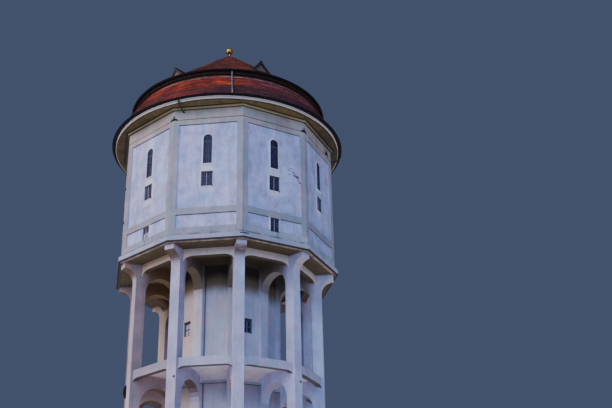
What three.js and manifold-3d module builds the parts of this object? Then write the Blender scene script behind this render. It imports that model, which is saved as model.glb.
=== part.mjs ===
// Ten-sided water tower: a tank house carried by ten piers round a ten-sided stair shaft.
// Millimetres, +Z up. The origin is on the tower's axis at ground level.
// Azimuth 0 faces -Y and turns towards +X. Corner 0 of the ten sides is at azimuth 0.

import * as THREE from 'three';
import { mergeVertices } from 'three/addons/utils/BufferGeometryUtils.js';
import Module from 'manifold-3d';

const wasm = await Module();
wasm.setup();

// Plan
const SIDES = 10;
const SIDE_ANGLE = (2 * Math.PI) / SIDES;
const HALF_SIDE = SIDE_ANGLE / 2;
const ROUND_STEPS = 40;
const GAP = 0.3;
const EXTRA = 100;

// Levels: the galleries are one storey apart below the tank floor
const STOREY = 5750;
const GALLERY_COUNT = 3;
const FLOOR_UNDERSIDE = 20880;
const FLOOR_TOP = 21180;
const TOP_GALLERY = 15120;
const CORNICE_BOTTOM = 28590;
const SOFFIT = 28710;

// Piers
const PIER_WIDTH = 520;
const PIER_FRONT = 5300;
const PIER_BACK = 4750;
const CORBEL_FRONT = 5980;
const CORBEL_BOTTOM = 19950;
const CORBEL_RISE = 620;
const CORBEL_STEPS = 8;

// Stair shaft
const SHAFT_CORNER = 2850;
const SHAFT_WALL = 300;
const PILASTER_FRONT = 3000;
const SHAFT_WINDOW = { width: 500, sill: 1980, height: 800 };
const DOOR = { width: 1000, height: 2100, leaf: 60, reveal: 120 };
const DOOR_SEGMENT = 4;
const GROUND_SLAB = 150;

// Galleries and the beams under the tank
const SLAB = 180;
const GALLERY_EDGE = 5270;
const BEAM_WIDTH = 300;
const BEAM_DEPTH = 420;
const HAUNCH = { length: 380, drop: 200 };
const HAUNCH_STEPS = 5;
const ARCH_RADIUS = 862;
const ARCH_STEPS = 12;
const GALLERY_CROWN = 770;
const GALLERY_COVE = { reach: 1200, drop: 500 };
const TANK_COVE = { reach: 420, drop: 500 };
const COVE_STEPS = 6;
const TANK_BEAM_EDGE = 5080;
const TANK_BEAM_DEPTH = 380;
const TANK_HAUNCH = { length: 580, drop: 280 };
const TANK_CROWN = 610;
const ACCESS_HOLE = 900;

// Tank house
const FLOOR_EDGE = 6250;
const TANK_CORNER = 6090;
const TANK_WALL = 300;
const PANEL_DEPTH = 60;
const PANEL_HALF = 1575;
const MAIN_PANEL = { bottom: 22740, top: 27720 };
const LOW_PANEL = { bottom: 21660, top: 22410 };
const FRIEZE_GROOVE = { bottom: 28000, height: 30, depth: 25 };
const ARCHED_WINDOW = { width: 480, bottom: 25280, top: 27050 };
const SQUARE_WINDOW = { width: 630, bottom: 23960, top: 24830 };
const LOW_WINDOW = { width: 530, bottom: 21590, top: 22400 };
const REVEAL = 100;
const TANK_REVEAL = 10;
const GLASS = 20;
const SHEET_MARGIN = 120;
const HEAD_STEPS = 10;
const CORNICE_CORNER = 6200;

// Roof
const EAVES_INNER = 5450;
const EAVES_OUTER = 6500;
const EAVES_TOP = 28945;
const FASCIA_BOTTOM = 28750;
const FASCIA_THICK = 60;
const ROOF_SHELL = 225;
const ROOF_SEAT = 150;
const TILE_OVERHANG = 50;
const LOWER_TILE_EDGE = { radius: 6620, height: 29010 };
const LOWER_TILE_TOP = { radius: 5420, height: 30950 };
const STEP_INNER = 5180;
const STEP_WALL = 5400;
const STEP_SOFFIT = 31000;
const STEP_EDGE = 5560;
const STEP_TOP = 31090;
const UPPER_TILE_EDGE = { radius: 5630, height: 31140 };
const APEX = { radius: 80, height: 35970 };
const GUTTER = { width: 250, depth: 140, wall: 14, back: 110, bevel: 46 };
const UPPER_GUTTER = { width: 190, depth: 150, wall: 14, back: 115, bevel: 50 };
const LOWER_GUTTER_TOP = 29050;
const UPPER_GUTTER_TOP = 31200;
const OUTLET_AZIMUTHS = [-31, 82, 205];
const OUTLET_PIPE = 100;
const OUTLET_KNEE = 28690;
const OUTLET_WALL_HEIGHT = 28420;
const DOWNPIPE_AZIMUTH = -5.7;
const DOWNPIPE = 80;
const DOWNPIPE_CLEAR = 90;
const DOWNPIPE_FOOT = 58;
const DOWNPIPE_DROP = 240;
const DOWNPIPE_KNEE = 30470;
const PIPE_SIDES = 8;
const PIPE_STEPS = 12;

// Dormers and finial
const DORMER_COUNT = 5;
const DORMER_HALF = 640;
const DORMER_PEAK = 33000;
const DORMER_EAVES = 32260;
const DORMER_FRONT = 4300;
const DORMER_BACK = 3100;
const DORMER_ROOF = 110;
const DORMER_RECESS = 90;
const DORMER_ROOT = 31860;
const BALL = { radius: 210, height: 36370, rings: 8, sides: 20 };
const FINIAL_COLLAR = 75;
const FINIAL_NECK = 38;

const RADIANS = Math.PI / 180;

const plaster = { color: 0xd8d3cf, roughness: 0.9, metalness: 0 };
const pierPlaster = { color: 0xd5d2d6, roughness: 0.9, metalness: 0 };
const concrete = { color: 0xb9b4ae, roughness: 0.95, metalness: 0 };
const moulding = { color: 0x9b9474, roughness: 0.85, metalness: 0 };
const fascia = { color: 0xb9bdc2, roughness: 0.6, metalness: 0 };
const gutterMetal = { color: 0x1e1d22, roughness: 0.45, metalness: 0.4 };
const pipeMetal = { color: 0xa9a6ae, roughness: 0.45, metalness: 0.5 };
const redTile = { color: 0x9c3d2c, roughness: 0.8, metalness: 0 };
const brownTile = { color: 0x6b3a2e, roughness: 0.85, metalness: 0 };
const darkBoard = { color: 0x2b2622, roughness: 0.8, metalness: 0 };
const gold = { color: 0xd9a520, roughness: 0.25, metalness: 1 };
const darkGlass = { color: 0x23262b, roughness: 0.15, metalness: 0 };
const doorPaint = { color: 0x5c4a3a, roughness: 0.7, metalness: 0 };

const tower = new THREE.Group();

// Apothem of a ten-sided ring with the given corner radius, and the other way round
const apothem = (cornerRadius) => cornerRadius * Math.cos(HALF_SIDE);
const cornerOf = (flatRadius) => flatRadius / Math.cos(HALF_SIDE);

// A closed solid from a three.js geometry, with its faces pointing out
function solidOf(geometry) {
  const bare = geometry.clone();
  bare.deleteAttribute('normal');
  bare.deleteAttribute('uv');
  const merged = mergeVertices(bare, 0.001);
  const points = new Float32Array(merged.attributes.position.array);
  const corners = [];
  for (let i = 0; i < merged.index.count; i += 3) {
    const a = merged.index.getX(i);
    const b = merged.index.getX(i + 1);
    const c = merged.index.getX(i + 2);
    if (a !== b && b !== c && c !== a) corners.push(a, b, c);
  }
  if (signedVolume(points, corners) < 0) corners.reverse();
  const triVerts = new Uint32Array(corners);
  return new wasm.Manifold(new wasm.Mesh({ numProp: 3, vertProperties: points, triVerts }));
}

function signedVolume(points, corners) {
  const vertex = (i) => new THREE.Vector3(points[3 * i], points[3 * i + 1], points[3 * i + 2]);
  let volume = 0;
  for (let i = 0; i < corners.length; i += 3) {
    const a = vertex(corners[i]);
    const b = vertex(corners[i + 1]);
    const c = vertex(corners[i + 2]);
    volume += a.dot(b.cross(c)) / 6;
  }
  return volume;
}

function geometryOf(solid) {
  const mesh = solid.getMesh();
  const geometry = new THREE.BufferGeometry();
  geometry.setAttribute('position', new THREE.BufferAttribute(new Float32Array(mesh.vertProperties), 3));
  geometry.setIndex(new THREE.BufferAttribute(new Uint32Array(mesh.triVerts), 1));
  geometry.computeVertexNormals();
  return geometry;
}

// Adds one named piece, turned to its azimuth and lifted to its level
function place(name, solid, finish, azimuth = 0, level = 0) {
  const mesh = new THREE.Mesh(geometryOf(solid), new THREE.MeshStandardMaterial(finish));
  mesh.name = name;
  mesh.rotation.z = azimuth;
  mesh.position.z = level;
  tower.add(mesh);
}

// Ring or disc turned about the axis; ten steps give the ten sides with corner 0 at azimuth 0
function turned(profile, steps) {
  const points = profile.map(([radius, height]) => new THREE.Vector2(radius, height));
  return solidOf(new THREE.LatheGeometry(points, steps).rotateX(Math.PI / 2));
}

function closedRing(profile, steps) {
  return turned([...profile, profile[0]], steps);
}

function ringBetween(innerRadius, outerRadius, bottom, top, steps) {
  const profile = [[innerRadius, bottom], [outerRadius, bottom], [outerRadius, top], [innerRadius, top]];
  return closedRing(profile, steps);
}

function shapeOf(outline) {
  return new THREE.Shape(outline.map(([across, up]) => new THREE.Vector2(across, up)));
}

// Upright outline across a side, extruded outwards between two distances from the axis
function outwards(outline, from, to) {
  const shape = outline instanceof THREE.Shape ? outline : shapeOf(outline);
  const options = { depth: to - from, bevelEnabled: false, curveSegments: HEAD_STEPS };
  const geometry = new THREE.ExtrudeGeometry(shape, options);
  return solidOf(geometry.rotateX(Math.PI / 2).translate(0, -from, 0));
}

// Upright outline of radius and height in a radial plane, extruded to a width across it
function radial(outline, width) {
  const geometry = new THREE.ExtrudeGeometry(shapeOf(outline), { depth: width, bevelEnabled: false });
  geometry.translate(0, 0, -width / 2);
  const toRadialPlane = new THREE.Matrix4().makeBasis(
    new THREE.Vector3(0, -1, 0),
    new THREE.Vector3(0, 0, 1),
    new THREE.Vector3(-1, 0, 0),
  );
  return solidOf(geometry.applyMatrix4(toRadialPlane));
}

// Flat outline seen from above, extruded between two heights
function upwards(outline, bottom, top) {
  const geometry = new THREE.ExtrudeGeometry(shapeOf(outline), { depth: top - bottom, bevelEnabled: false });
  return solidOf(geometry.translate(0, 0, bottom));
}

function rectangle(halfWidth, bottom, top) {
  return [[-halfWidth, bottom], [halfWidth, bottom], [halfWidth, top], [-halfWidth, top]];
}

function turnedBy(solid, angle) {
  return solid.rotate([0, 0, angle / RADIANS]);
}

// The same solid at each of a number of equal turns, joined
function around(solid, count, firstAngle) {
  let joined = turnedBy(solid, firstAngle);
  for (let i = 1; i < count; i += 1) {
    joined = joined.add(turnedBy(solid, firstAngle + (i * 2 * Math.PI) / count));
  }
  return joined;
}

// Wedge about the axis that faces -Y, a little narrower than its angle on both cut faces
function wedge(halfAngle, radius, bottom, top) {
  const start = GAP / 2 / Math.sin(halfAngle);
  const outer = radius * Math.cos(halfAngle);
  const half = (outer - start) * Math.tan(halfAngle);
  return upwards([[0, -start], [-half, -outer], [half, -outer]], bottom, top);
}

// Hollow quarter curve from straight up at the foot to level at the head, as steps out and down
function quarterCurve(reach, drop, steps) {
  return Array.from({ length: steps + 1 }, (_, i) => {
    const turn = (i / steps) * (Math.PI / 2);
    return [reach * (1 - Math.cos(turn)), drop * (Math.sin(turn) - 1)];
  });
}

// Piers: straight shafts on the ten corners, whose heads swing out under the tank.
// A radial arch at each floor ties the pier back to the shaft's pilaster.
function pier(clearance) {
  const top = FLOOR_UNDERSIDE - GAP + clearance;
  const outline = [[PIER_BACK - clearance, 0], [PIER_FRONT + clearance, 0]];
  for (const [out, down] of quarterCurve(CORBEL_FRONT - PIER_FRONT, CORBEL_RISE, CORBEL_STEPS)) {
    outline.push([PIER_FRONT + clearance + out, CORBEL_BOTTOM + CORBEL_RISE + down]);
  }
  outline.push([CORBEL_FRONT + clearance, top], [PIER_BACK - clearance, top]);
  let solid = radial(outline, PIER_WIDTH + 2 * clearance);
  solid = solid.add(radialArch(FLOOR_UNDERSIDE, FLOOR_UNDERSIDE - TANK_CROWN, clearance));
  for (let level = 0; level < GALLERY_COUNT; level += 1) {
    const floor = TOP_GALLERY - level * STOREY;
    solid = solid.add(radialArch(floor - SLAB, floor - GALLERY_CROWN, clearance));
  }
  return solid;
}

function radialArch(underside, crown, clearance) {
  const centre = (PILASTER_FRONT + PIER_BACK) / 2;
  const springing = crown - ARCH_RADIUS;
  const top = underside - GAP + clearance;
  const back = PILASTER_FRONT + GAP - clearance;
  const front = (PIER_BACK + PIER_FRONT) / 2;
  const radius = ARCH_RADIUS - clearance;
  const outline = [[back, springing], [back, top], [front, top], [front, springing]];
  for (let i = 0; i <= ARCH_STEPS; i += 1) {
    const turn = (i / ARCH_STEPS) * Math.PI;
    outline.push([centre + radius * Math.cos(turn), springing + radius * Math.sin(turn)]);
  }
  return radial(outline, PIER_WIDTH + 2 * clearance);
}

function addPiers() {
  for (let corner = 0; corner < SIDES; corner += 1) {
    place(`pier_${corner + 1}`, pier(0), pierPlaster, corner * SIDE_ANGLE);
  }
}

// Stair shaft: a ten-sided tube with a pilaster on each corner
function shaftPilaster(clearance, bottom, top) {
  const back = apothem(SHAFT_CORNER) - SHAFT_WALL / 2;
  const half = PIER_WIDTH / 2 + clearance;
  const front = PILASTER_FRONT + clearance;
  return upwards([[-half, -front], [half, -front], [half, -back], [-half, -back]], bottom, top);
}

const shaftInner = apothem(SHAFT_CORNER) - SHAFT_WALL;
const shaftTop = FLOOR_UNDERSIDE - GAP;

function shaftWindowSills() {
  const sills = [];
  for (let level = 0; level < GALLERY_COUNT; level += 1) {
    sills.push(TOP_GALLERY - level * STOREY + SHAFT_WINDOW.sill);
  }
  return sills;
}

function shaftSegment(hasDoor) {
  let wall = ringBetween(cornerOf(shaftInner), SHAFT_CORNER, 0, shaftTop, SIDES);
  for (const corner of [-1, 0, 1]) {
    wall = wall.add(turnedBy(shaftPilaster(0, 0, shaftTop), corner * SIDE_ANGLE));
  }
  wall = wall.intersect(wedge(SIDE_ANGLE, 2 * PILASTER_FRONT, 0, shaftTop));
  for (const sill of shaftWindowSills()) {
    const opening = rectangle(SHAFT_WINDOW.width / 2, sill, sill + SHAFT_WINDOW.height);
    const cut = outwards(opening, shaftInner - EXTRA, PILASTER_FRONT + EXTRA);
    wall = wall.subtract(turnedBy(cut, -HALF_SIDE));
  }
  if (hasDoor) {
    const doorway = rectangle(DOOR.width / 2, GROUND_SLAB, GROUND_SLAB + DOOR.height);
    const cut = outwards(doorway, shaftInner - EXTRA, PILASTER_FRONT + EXTRA);
    wall = wall.subtract(turnedBy(cut, HALF_SIDE));
  }
  return wall;
}

// One ring sheet inside the wall carries the panes that fill a storey's windows
function windowRing(innerFace, glassFace, windows, bottom, top) {
  const outer = cornerOf(innerFace - GAP);
  const inner = cornerOf(innerFace - GAP - GLASS);
  let sheet = ringBetween(inner, outer, bottom, top, SIDES);
  for (const { outline, side } of windows) {
    const pane = outwards(outline, innerFace - GAP - GLASS / 2, glassFace);
    sheet = sheet.add(turnedBy(pane, HALF_SIDE + side * SIDE_ANGLE));
  }
  return sheet;
}

function addShaft() {
  const segments = SIDES / 2;
  for (let segment = 0; segment < segments; segment += 1) {
    const azimuth = (2 * segment + 1) * SIDE_ANGLE;
    const solid = shaftSegment(segment === DOOR_SEGMENT);
    place(`shaft_wall_${segment + 1}`, solid, pierPlaster, azimuth);
  }
  shaftWindowSills().forEach((sill, level) => {
    const half = SHAFT_WINDOW.width / 2 - GAP;
    const outline = rectangle(half, sill + GAP, sill + SHAFT_WINDOW.height - GAP);
    const windows = [0, 2, 4, 6, 8].map((side) => ({ outline, side }));
    const glassFace = apothem(SHAFT_CORNER) - REVEAL;
    const low = sill - SHEET_MARGIN;
    const high = sill + SHAFT_WINDOW.height + SHEET_MARGIN;
    place(`shaft_windows_${level + 1}`, windowRing(shaftInner, glassFace, windows, low, high), darkGlass);
  });
  const floor = upwards(decagon(cornerOf(shaftInner - GAP)), 0, GROUND_SLAB);
  place('ground_floor', floor, concrete);
  addDoor();
}

function decagon(cornerRadius) {
  return Array.from({ length: SIDES }, (_, i) => {
    const azimuth = i * SIDE_ANGLE;
    return [cornerRadius * Math.sin(azimuth), -cornerRadius * Math.cos(azimuth)];
  });
}

// Plank door in the shaft's doorway, shut and with no hinge shown
function addDoor() {
  const face = apothem(SHAFT_CORNER) - DOOR.reveal;
  const low = GROUND_SLAB + GAP;
  const outline = rectangle(DOOR.width / 2 - GAP, low, GROUND_SLAB + DOOR.height - GAP);
  const leaf = outwards(outline, face - DOOR.leaf, face);
  const azimuth = (2 * DOOR_SEGMENT + 1) * SIDE_ANGLE + HALF_SIDE;
  place('entrance_door', leaf, doorPaint, azimuth);
}

// Everything that a floor has to pass round: the piers with their arches, and the shaft with its pilasters
function floorCutters() {
  const low = -EXTRA;
  const high = FLOOR_TOP;
  const core = upwards(decagon(cornerOf(apothem(SHAFT_CORNER) + GAP)), low, high);
  const pilasters = around(shaftPilaster(GAP, low, high), SIDES, 0);
  return around(pier(GAP), SIDES, 0).add(core).add(pilasters);
}

// Straight beams between the piers, with hollow-curved haunches where they meet them
function ringBeam(edge, top, depth, haunch) {
  const bottom = top - depth;
  const low = bottom - haunch.drop;
  const back = apothem(edge) - BEAM_WIDTH;
  const ring = ringBetween(cornerOf(back), edge, low, top, SIDES);
  const span = edge * Math.sin(HALF_SIDE) - PIER_WIDTH / 2 / Math.cos(HALF_SIDE);
  const curve = quarterCurve(haunch.length, haunch.drop, HAUNCH_STEPS);
  const left = curve.map(([out, down]) => [out - span, bottom + down]);
  const right = left.map(([across, up]) => [-across, up]).reverse();
  const outline = [[-span, low - EXTRA], ...left, ...right, [span, low - EXTRA]];
  const soffit = outwards(outline, back - EXTRA, apothem(edge) + EXTRA);
  return ring.subtract(around(soffit, SIDES, HALF_SIDE));
}

// Cove under the slab where it meets the shaft
function shaftCove(underside, cove) {
  const wall = SHAFT_CORNER;
  const lap = SLAB / 2;
  const curve = quarterCurve(cove.reach, cove.drop, COVE_STEPS);
  const profile = curve.map(([out, down]) => [wall + out, underside + down]);
  profile.push([wall + cove.reach, underside + lap], [wall, underside + lap]);
  return closedRing(profile, SIDES);
}

// A gallery: slab, ring beam and cove cast together round the piers and the shaft
function gallery() {
  const top = TOP_GALLERY;
  const inner = SHAFT_CORNER - EXTRA;
  let floor = ringBetween(inner, GALLERY_EDGE, top - SLAB, top, SIDES);
  floor = floor.add(ringBeam(GALLERY_EDGE, top, BEAM_DEPTH, HAUNCH));
  floor = floor.add(shaftCove(top - SLAB, GALLERY_COVE));
  return floor.subtract(floorCutters());
}

function addGalleries() {
  for (let level = 0; level < GALLERY_COUNT; level += 1) {
    place(`gallery_${level + 1}`, gallery(), concrete, 0, -level * STOREY);
  }
}

// Tank floor: a slab that overhangs the piers, with its beams and its cove cast under it
function addTankFloor() {
  const underside = FLOOR_UNDERSIDE;
  const lap = SLAB / 2;
  const beams = ringBeam(TANK_BEAM_EDGE, underside + lap, TANK_BEAM_DEPTH + lap, TANK_HAUNCH);
  const hung = beams.add(shaftCove(underside, TANK_COVE)).subtract(floorCutters());
  const slab = ringBetween(ACCESS_HOLE, FLOOR_EDGE, underside, FLOOR_TOP, SIDES);
  place('tank_floor', slab.add(hung), concrete);
}

const tankFace = apothem(TANK_CORNER);
const tankInner = tankFace - TANK_WALL;
const panelFace = tankFace - PANEL_DEPTH;

function archedOutline(inset) {
  const half = ARCHED_WINDOW.width / 2 - inset;
  const springing = ARCHED_WINDOW.top - ARCHED_WINDOW.width / 2;
  const shape = new THREE.Shape();
  shape.moveTo(-half, ARCHED_WINDOW.bottom + inset);
  shape.lineTo(half, ARCHED_WINDOW.bottom + inset);
  shape.lineTo(half, springing);
  shape.absarc(0, springing, half, 0, Math.PI, false);
  return shape;
}

function squareOutline(window, inset) {
  return rectangle(window.width / 2 - inset, window.bottom + inset, window.top - inset);
}

// One side of the tank house, between corner strips: panels sunk in, a frieze line and windows cut through
function tankSide(hasLowWindow) {
  const low = FLOOR_TOP + GAP;
  const high = CORNICE_BOTTOM - GAP;
  const ring = ringBetween(cornerOf(tankInner), TANK_CORNER, low, high, SIDES);
  let wall = turnedBy(ring, HALF_SIDE).intersect(wedge(HALF_SIDE, 2 * TANK_CORNER, low, high));
  const cuts = [
    outwards(rectangle(PANEL_HALF, MAIN_PANEL.bottom, MAIN_PANEL.top), panelFace, tankFace + EXTRA),
    outwards(rectangle(PANEL_HALF, LOW_PANEL.bottom, LOW_PANEL.top), panelFace, tankFace + EXTRA),
    outwards(archedOutline(0), tankInner - EXTRA, tankFace),
    outwards(squareOutline(SQUARE_WINDOW, 0), tankInner - EXTRA, tankFace),
  ];
  const line = rectangle(TANK_CORNER, FRIEZE_GROOVE.bottom, FRIEZE_GROOVE.bottom + FRIEZE_GROOVE.height);
  cuts.push(outwards(line, tankFace - FRIEZE_GROOVE.depth, tankFace + EXTRA));
  if (hasLowWindow) cuts.push(outwards(squareOutline(LOW_WINDOW, 0), tankInner - EXTRA, tankFace + EXTRA));
  for (const cut of cuts) wall = wall.subtract(cut);
  return wall;
}

function addTankHouse() {
  for (let side = 0; side < SIDES; side += 1) {
    const azimuth = HALF_SIDE + side * SIDE_ANGLE;
    place(`tank_wall_${side + 1}`, tankSide(side % 2 === 0), plaster, azimuth);
  }
  const upper = [];
  const lower = [];
  for (let side = 0; side < SIDES; side += 1) {
    upper.push({ outline: archedOutline(GAP), side });
    upper.push({ outline: squareOutline(SQUARE_WINDOW, GAP), side });
    if (side % 2 === 0) lower.push({ outline: squareOutline(LOW_WINDOW, GAP), side });
  }
  const glassFace = panelFace - TANK_REVEAL;
  const upperLow = SQUARE_WINDOW.bottom - SHEET_MARGIN;
  const upperHigh = ARCHED_WINDOW.top + SHEET_MARGIN;
  const lowerLow = LOW_WINDOW.bottom - SHEET_MARGIN;
  const lowerHigh = LOW_WINDOW.top + SHEET_MARGIN;
  place('tank_windows_upper', windowRing(tankInner, glassFace, upper, upperLow, upperHigh), darkGlass);
  place('tank_windows_low', windowRing(tankInner, glassFace, lower, lowerLow, lowerHigh), darkGlass);
  const cornice = ringBetween(cornerOf(tankInner), CORNICE_CORNER, CORNICE_BOTTOM, SOFFIT - GAP, SIDES);
  place('tank_cornice', cornice, moulding);
}

// Half-round gutter on the edge of an eaves ring
function gutterRing(gutter, backRadius, top) {
  const back = backRadius + GAP;
  const front = back + gutter.width;
  const bottom = top - gutter.depth;
  const backTop = top - gutter.back;
  const { bevel, wall } = gutter;
  return closedRing([
    [back, backTop],
    [back, bottom + bevel],
    [back + bevel, bottom],
    [front - bevel, bottom],
    [front, bottom + bevel],
    [front, top],
    [front - wall, top],
    [front - wall, bottom + bevel + wall / 2],
    [front - bevel - wall / 2, bottom + wall],
    [back + bevel + wall / 2, bottom + wall],
    [back + wall, bottom + bevel + wall / 2],
    [back + wall, backTop],
  ], ROUND_STEPS);
}

// Round pipe along a smooth curve through points of radius and height, in the plane of azimuth 0
function pipe(route, diameter) {
  const points = route.map(([radius, height]) => new THREE.Vector3(0, -radius, height));
  const path = new THREE.CatmullRomCurve3(points, false, 'centripetal');
  const section = new THREE.Shape();
  for (let i = 0; i < PIPE_SIDES; i += 1) {
    const turn = ((i + 0.5) / PIPE_SIDES) * 2 * Math.PI;
    const across = (diameter / 2) * Math.cos(turn);
    const along = (diameter / 2) * Math.sin(turn);
    if (i === 0) section.moveTo(across, along);
    else section.lineTo(across, along);
  }
  const options = { steps: PIPE_STEPS, extrudePath: path, bevelEnabled: false };
  return solidOf(new THREE.ExtrudeGeometry(section, options));
}

function addEaves() {
  const innerFascia = EAVES_OUTER - FASCIA_THICK;
  place('eaves', closedRing([
    [EAVES_INNER, SOFFIT],
    [innerFascia, SOFFIT],
    [innerFascia, FASCIA_BOTTOM],
    [EAVES_OUTER, FASCIA_BOTTOM],
    [EAVES_OUTER, EAVES_TOP],
    [EAVES_INNER, EAVES_TOP],
  ], ROUND_STEPS), fascia);
  place('lower_gutter', gutterRing(GUTTER, EAVES_OUTER, LOWER_GUTTER_TOP), gutterMetal);
}

// Swan-neck outlets lead from the lower gutter back into the tank wall
function addOutlets() {
  const gutterMiddle = EAVES_OUTER + GUTTER.width / 2;
  const gutterUnderside = LOWER_GUTTER_TOP - GUTTER.depth;
  const house = upwards(decagon(cornerOf(tankFace + GAP)), CORBEL_BOTTOM, SOFFIT);
  OUTLET_AZIMUTHS.forEach((degrees, index) => {
    const azimuth = degrees * RADIANS;
    const neck = pipe([
      [gutterMiddle, gutterUnderside - GAP],
      [gutterMiddle, gutterUnderside - OUTLET_PIPE],
      [gutterMiddle - OUTLET_PIPE / 2, OUTLET_KNEE],
      [CORNICE_CORNER, OUTLET_WALL_HEIGHT + OUTLET_PIPE],
      [tankInner, OUTLET_WALL_HEIGHT],
    ], OUTLET_PIPE);
    place(`gutter_outlet_${index + 1}`, neck.subtract(turnedBy(house, -azimuth)), gutterMetal, azimuth);
  });
}

// Two tiers of tiled roof: a steep ring, a small step with its own gutter, and a cone
function addRoof() {
  const seat = EAVES_TOP + GAP;
  const inside = LOWER_TILE_TOP.radius - ROOF_SHELL;
  const heel = EAVES_OUTER - ROOF_SEAT;
  place('lower_roof', closedRing([
    [heel, seat],
    [EAVES_OUTER - TILE_OVERHANG, seat],
    [LOWER_TILE_EDGE.radius, LOWER_TILE_EDGE.height],
    [LOWER_TILE_TOP.radius, LOWER_TILE_TOP.height],
    [inside, LOWER_TILE_TOP.height],
  ], ROUND_STEPS), redTile);
  const stepSeat = LOWER_TILE_TOP.height + GAP;
  place('upper_eaves', closedRing([
    [STEP_INNER, stepSeat],
    [STEP_WALL, stepSeat],
    [STEP_WALL, STEP_SOFFIT],
    [STEP_EDGE, STEP_SOFFIT],
    [STEP_EDGE, STEP_TOP],
    [STEP_INNER, STEP_TOP],
  ], ROUND_STEPS), darkBoard);
  place('upper_gutter', gutterRing(UPPER_GUTTER, STEP_EDGE, UPPER_GUTTER_TOP), gutterMetal);
  place('upper_roof', cone(), brownTile);
}

function cone() {
  const seat = STEP_TOP + GAP;
  const slope = (APEX.height - UPPER_TILE_EDGE.height) / (UPPER_TILE_EDGE.radius - APEX.radius);
  const heel = UPPER_TILE_EDGE.radius - ROOF_SHELL;
  return turned([
    [0, seat + heel * slope],
    [heel, seat],
    [STEP_EDGE, seat],
    [UPPER_TILE_EDGE.radius, UPPER_TILE_EDGE.height],
    [APEX.radius, APEX.height],
    [0, APEX.height],
  ], ROUND_STEPS);
}

// Small gabled dormers: a sunk triangular front under two steep tiled slopes
function dormer() {
  const pitch = (DORMER_PEAK - DORMER_EAVES) / DORMER_HALF;
  const inner = DORMER_HALF - DORMER_ROOF;
  const innerPeak = DORMER_PEAK - DORMER_ROOF * Math.hypot(1, pitch);
  const outerGable = gable(DORMER_HALF, DORMER_EAVES, DORMER_PEAK);
  const innerGable = gable(inner, innerPeak - inner * pitch, innerPeak);
  const body = outwards(outerGable, DORMER_BACK, DORMER_FRONT);
  return body.subtract(outwards(innerGable, DORMER_FRONT - DORMER_RECESS, DORMER_FRONT + EXTRA));
}

function gable(half, eaves, peak) {
  return [[-half, DORMER_ROOT], [half, DORMER_ROOT], [half, eaves], [0, peak], [-half, eaves]];
}

function addDormers() {
  const under = turned([
    [0, STEP_TOP],
    [UPPER_TILE_EDGE.radius + GAP, STEP_TOP],
    [UPPER_TILE_EDGE.radius + GAP, UPPER_TILE_EDGE.height + GAP],
    [APEX.radius + GAP, APEX.height + GAP],
    [0, APEX.height + GAP],
  ], ROUND_STEPS);
  for (let index = 0; index < DORMER_COUNT; index += 1) {
    const azimuth = HALF_SIDE + 2 * index * SIDE_ANGLE;
    const roofBody = turnedBy(under, -azimuth);
    place(`dormer_${index + 1}`, dormer().subtract(roofBody), brownTile, azimuth);
  }
}

// Gilded ball on a short neck
function addFinial() {
  const profile = [[0, APEX.height + GAP], [FINIAL_COLLAR, APEX.height + GAP]];
  const neckTop = Math.asin(FINIAL_NECK / BALL.radius);
  profile.push([FINIAL_NECK, APEX.height + FINIAL_COLLAR]);
  for (let i = 0; i <= BALL.rings; i += 1) {
    const turn = Math.PI - neckTop - (i / BALL.rings) * (Math.PI - neckTop);
    profile.push([BALL.radius * Math.sin(turn), BALL.height + BALL.radius * Math.cos(turn)]);
  }
  profile[profile.length - 1][0] = 0;
  place('finial', turned(profile, BALL.sides), gold);
}

// Downpipe from the upper gutter, just clear of the steep tiles, into the lower gutter
function addDownpipe() {
  const top = UPPER_GUTTER_TOP - UPPER_GUTTER.depth - GAP;
  const topRadius = STEP_EDGE + UPPER_GUTTER.width / 2;
  const rise = LOWER_TILE_TOP.height - LOWER_TILE_EDGE.height;
  const fall = rise / (LOWER_TILE_EDGE.radius - LOWER_TILE_TOP.radius);
  const overTiles = (height) => [
    LOWER_TILE_EDGE.radius - (height - LOWER_TILE_EDGE.height) / fall + DOWNPIPE_CLEAR,
    height,
  ];
  const foot = LOWER_GUTTER_TOP - DOWNPIPE;
  const footRadius = LOWER_TILE_EDGE.radius + DOWNPIPE_FOOT;
  const route = [
    [topRadius, top],
    [topRadius, top - DOWNPIPE_DROP],
    overTiles(DOWNPIPE_KNEE),
    overTiles(LOWER_GUTTER_TOP + DOWNPIPE),
    [footRadius, foot],
  ];
  place('roof_downpipe', pipe(route, DOWNPIPE), pipeMetal, DOWNPIPE_AZIMUTH * RADIANS);
}

addPiers();
addShaft();
addGalleries();
addTankFloor();
addTankHouse();
addEaves();
addOutlets();
addRoof();
addDormers();
addFinial();
addDownpipe();

export default tower;
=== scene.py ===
import math

import bmesh
import bpy
from mathutils import Matrix, Vector


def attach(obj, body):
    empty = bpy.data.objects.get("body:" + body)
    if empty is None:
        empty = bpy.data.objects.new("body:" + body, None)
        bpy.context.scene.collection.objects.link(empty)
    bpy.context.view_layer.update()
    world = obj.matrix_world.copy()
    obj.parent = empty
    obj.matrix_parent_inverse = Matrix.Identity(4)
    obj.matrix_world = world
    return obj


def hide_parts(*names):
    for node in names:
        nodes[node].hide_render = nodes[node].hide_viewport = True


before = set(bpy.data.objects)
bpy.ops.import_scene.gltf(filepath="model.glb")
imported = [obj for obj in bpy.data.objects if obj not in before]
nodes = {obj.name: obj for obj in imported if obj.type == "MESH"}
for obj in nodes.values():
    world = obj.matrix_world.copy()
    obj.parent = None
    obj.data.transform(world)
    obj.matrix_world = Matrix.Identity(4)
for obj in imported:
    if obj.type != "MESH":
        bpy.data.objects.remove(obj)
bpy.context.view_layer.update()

# Piers
# Rendered brick and concrete under many coats of limewash, gone patchy, with grime run down by the rain.
# Their heads swing out under the tank, and arches tie them back to the shaft at every floor.
SIDES = 10
SIDE_ANGLE = 2 * math.pi / SIDES
TANK_UNDERSIDE = 20.88
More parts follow.
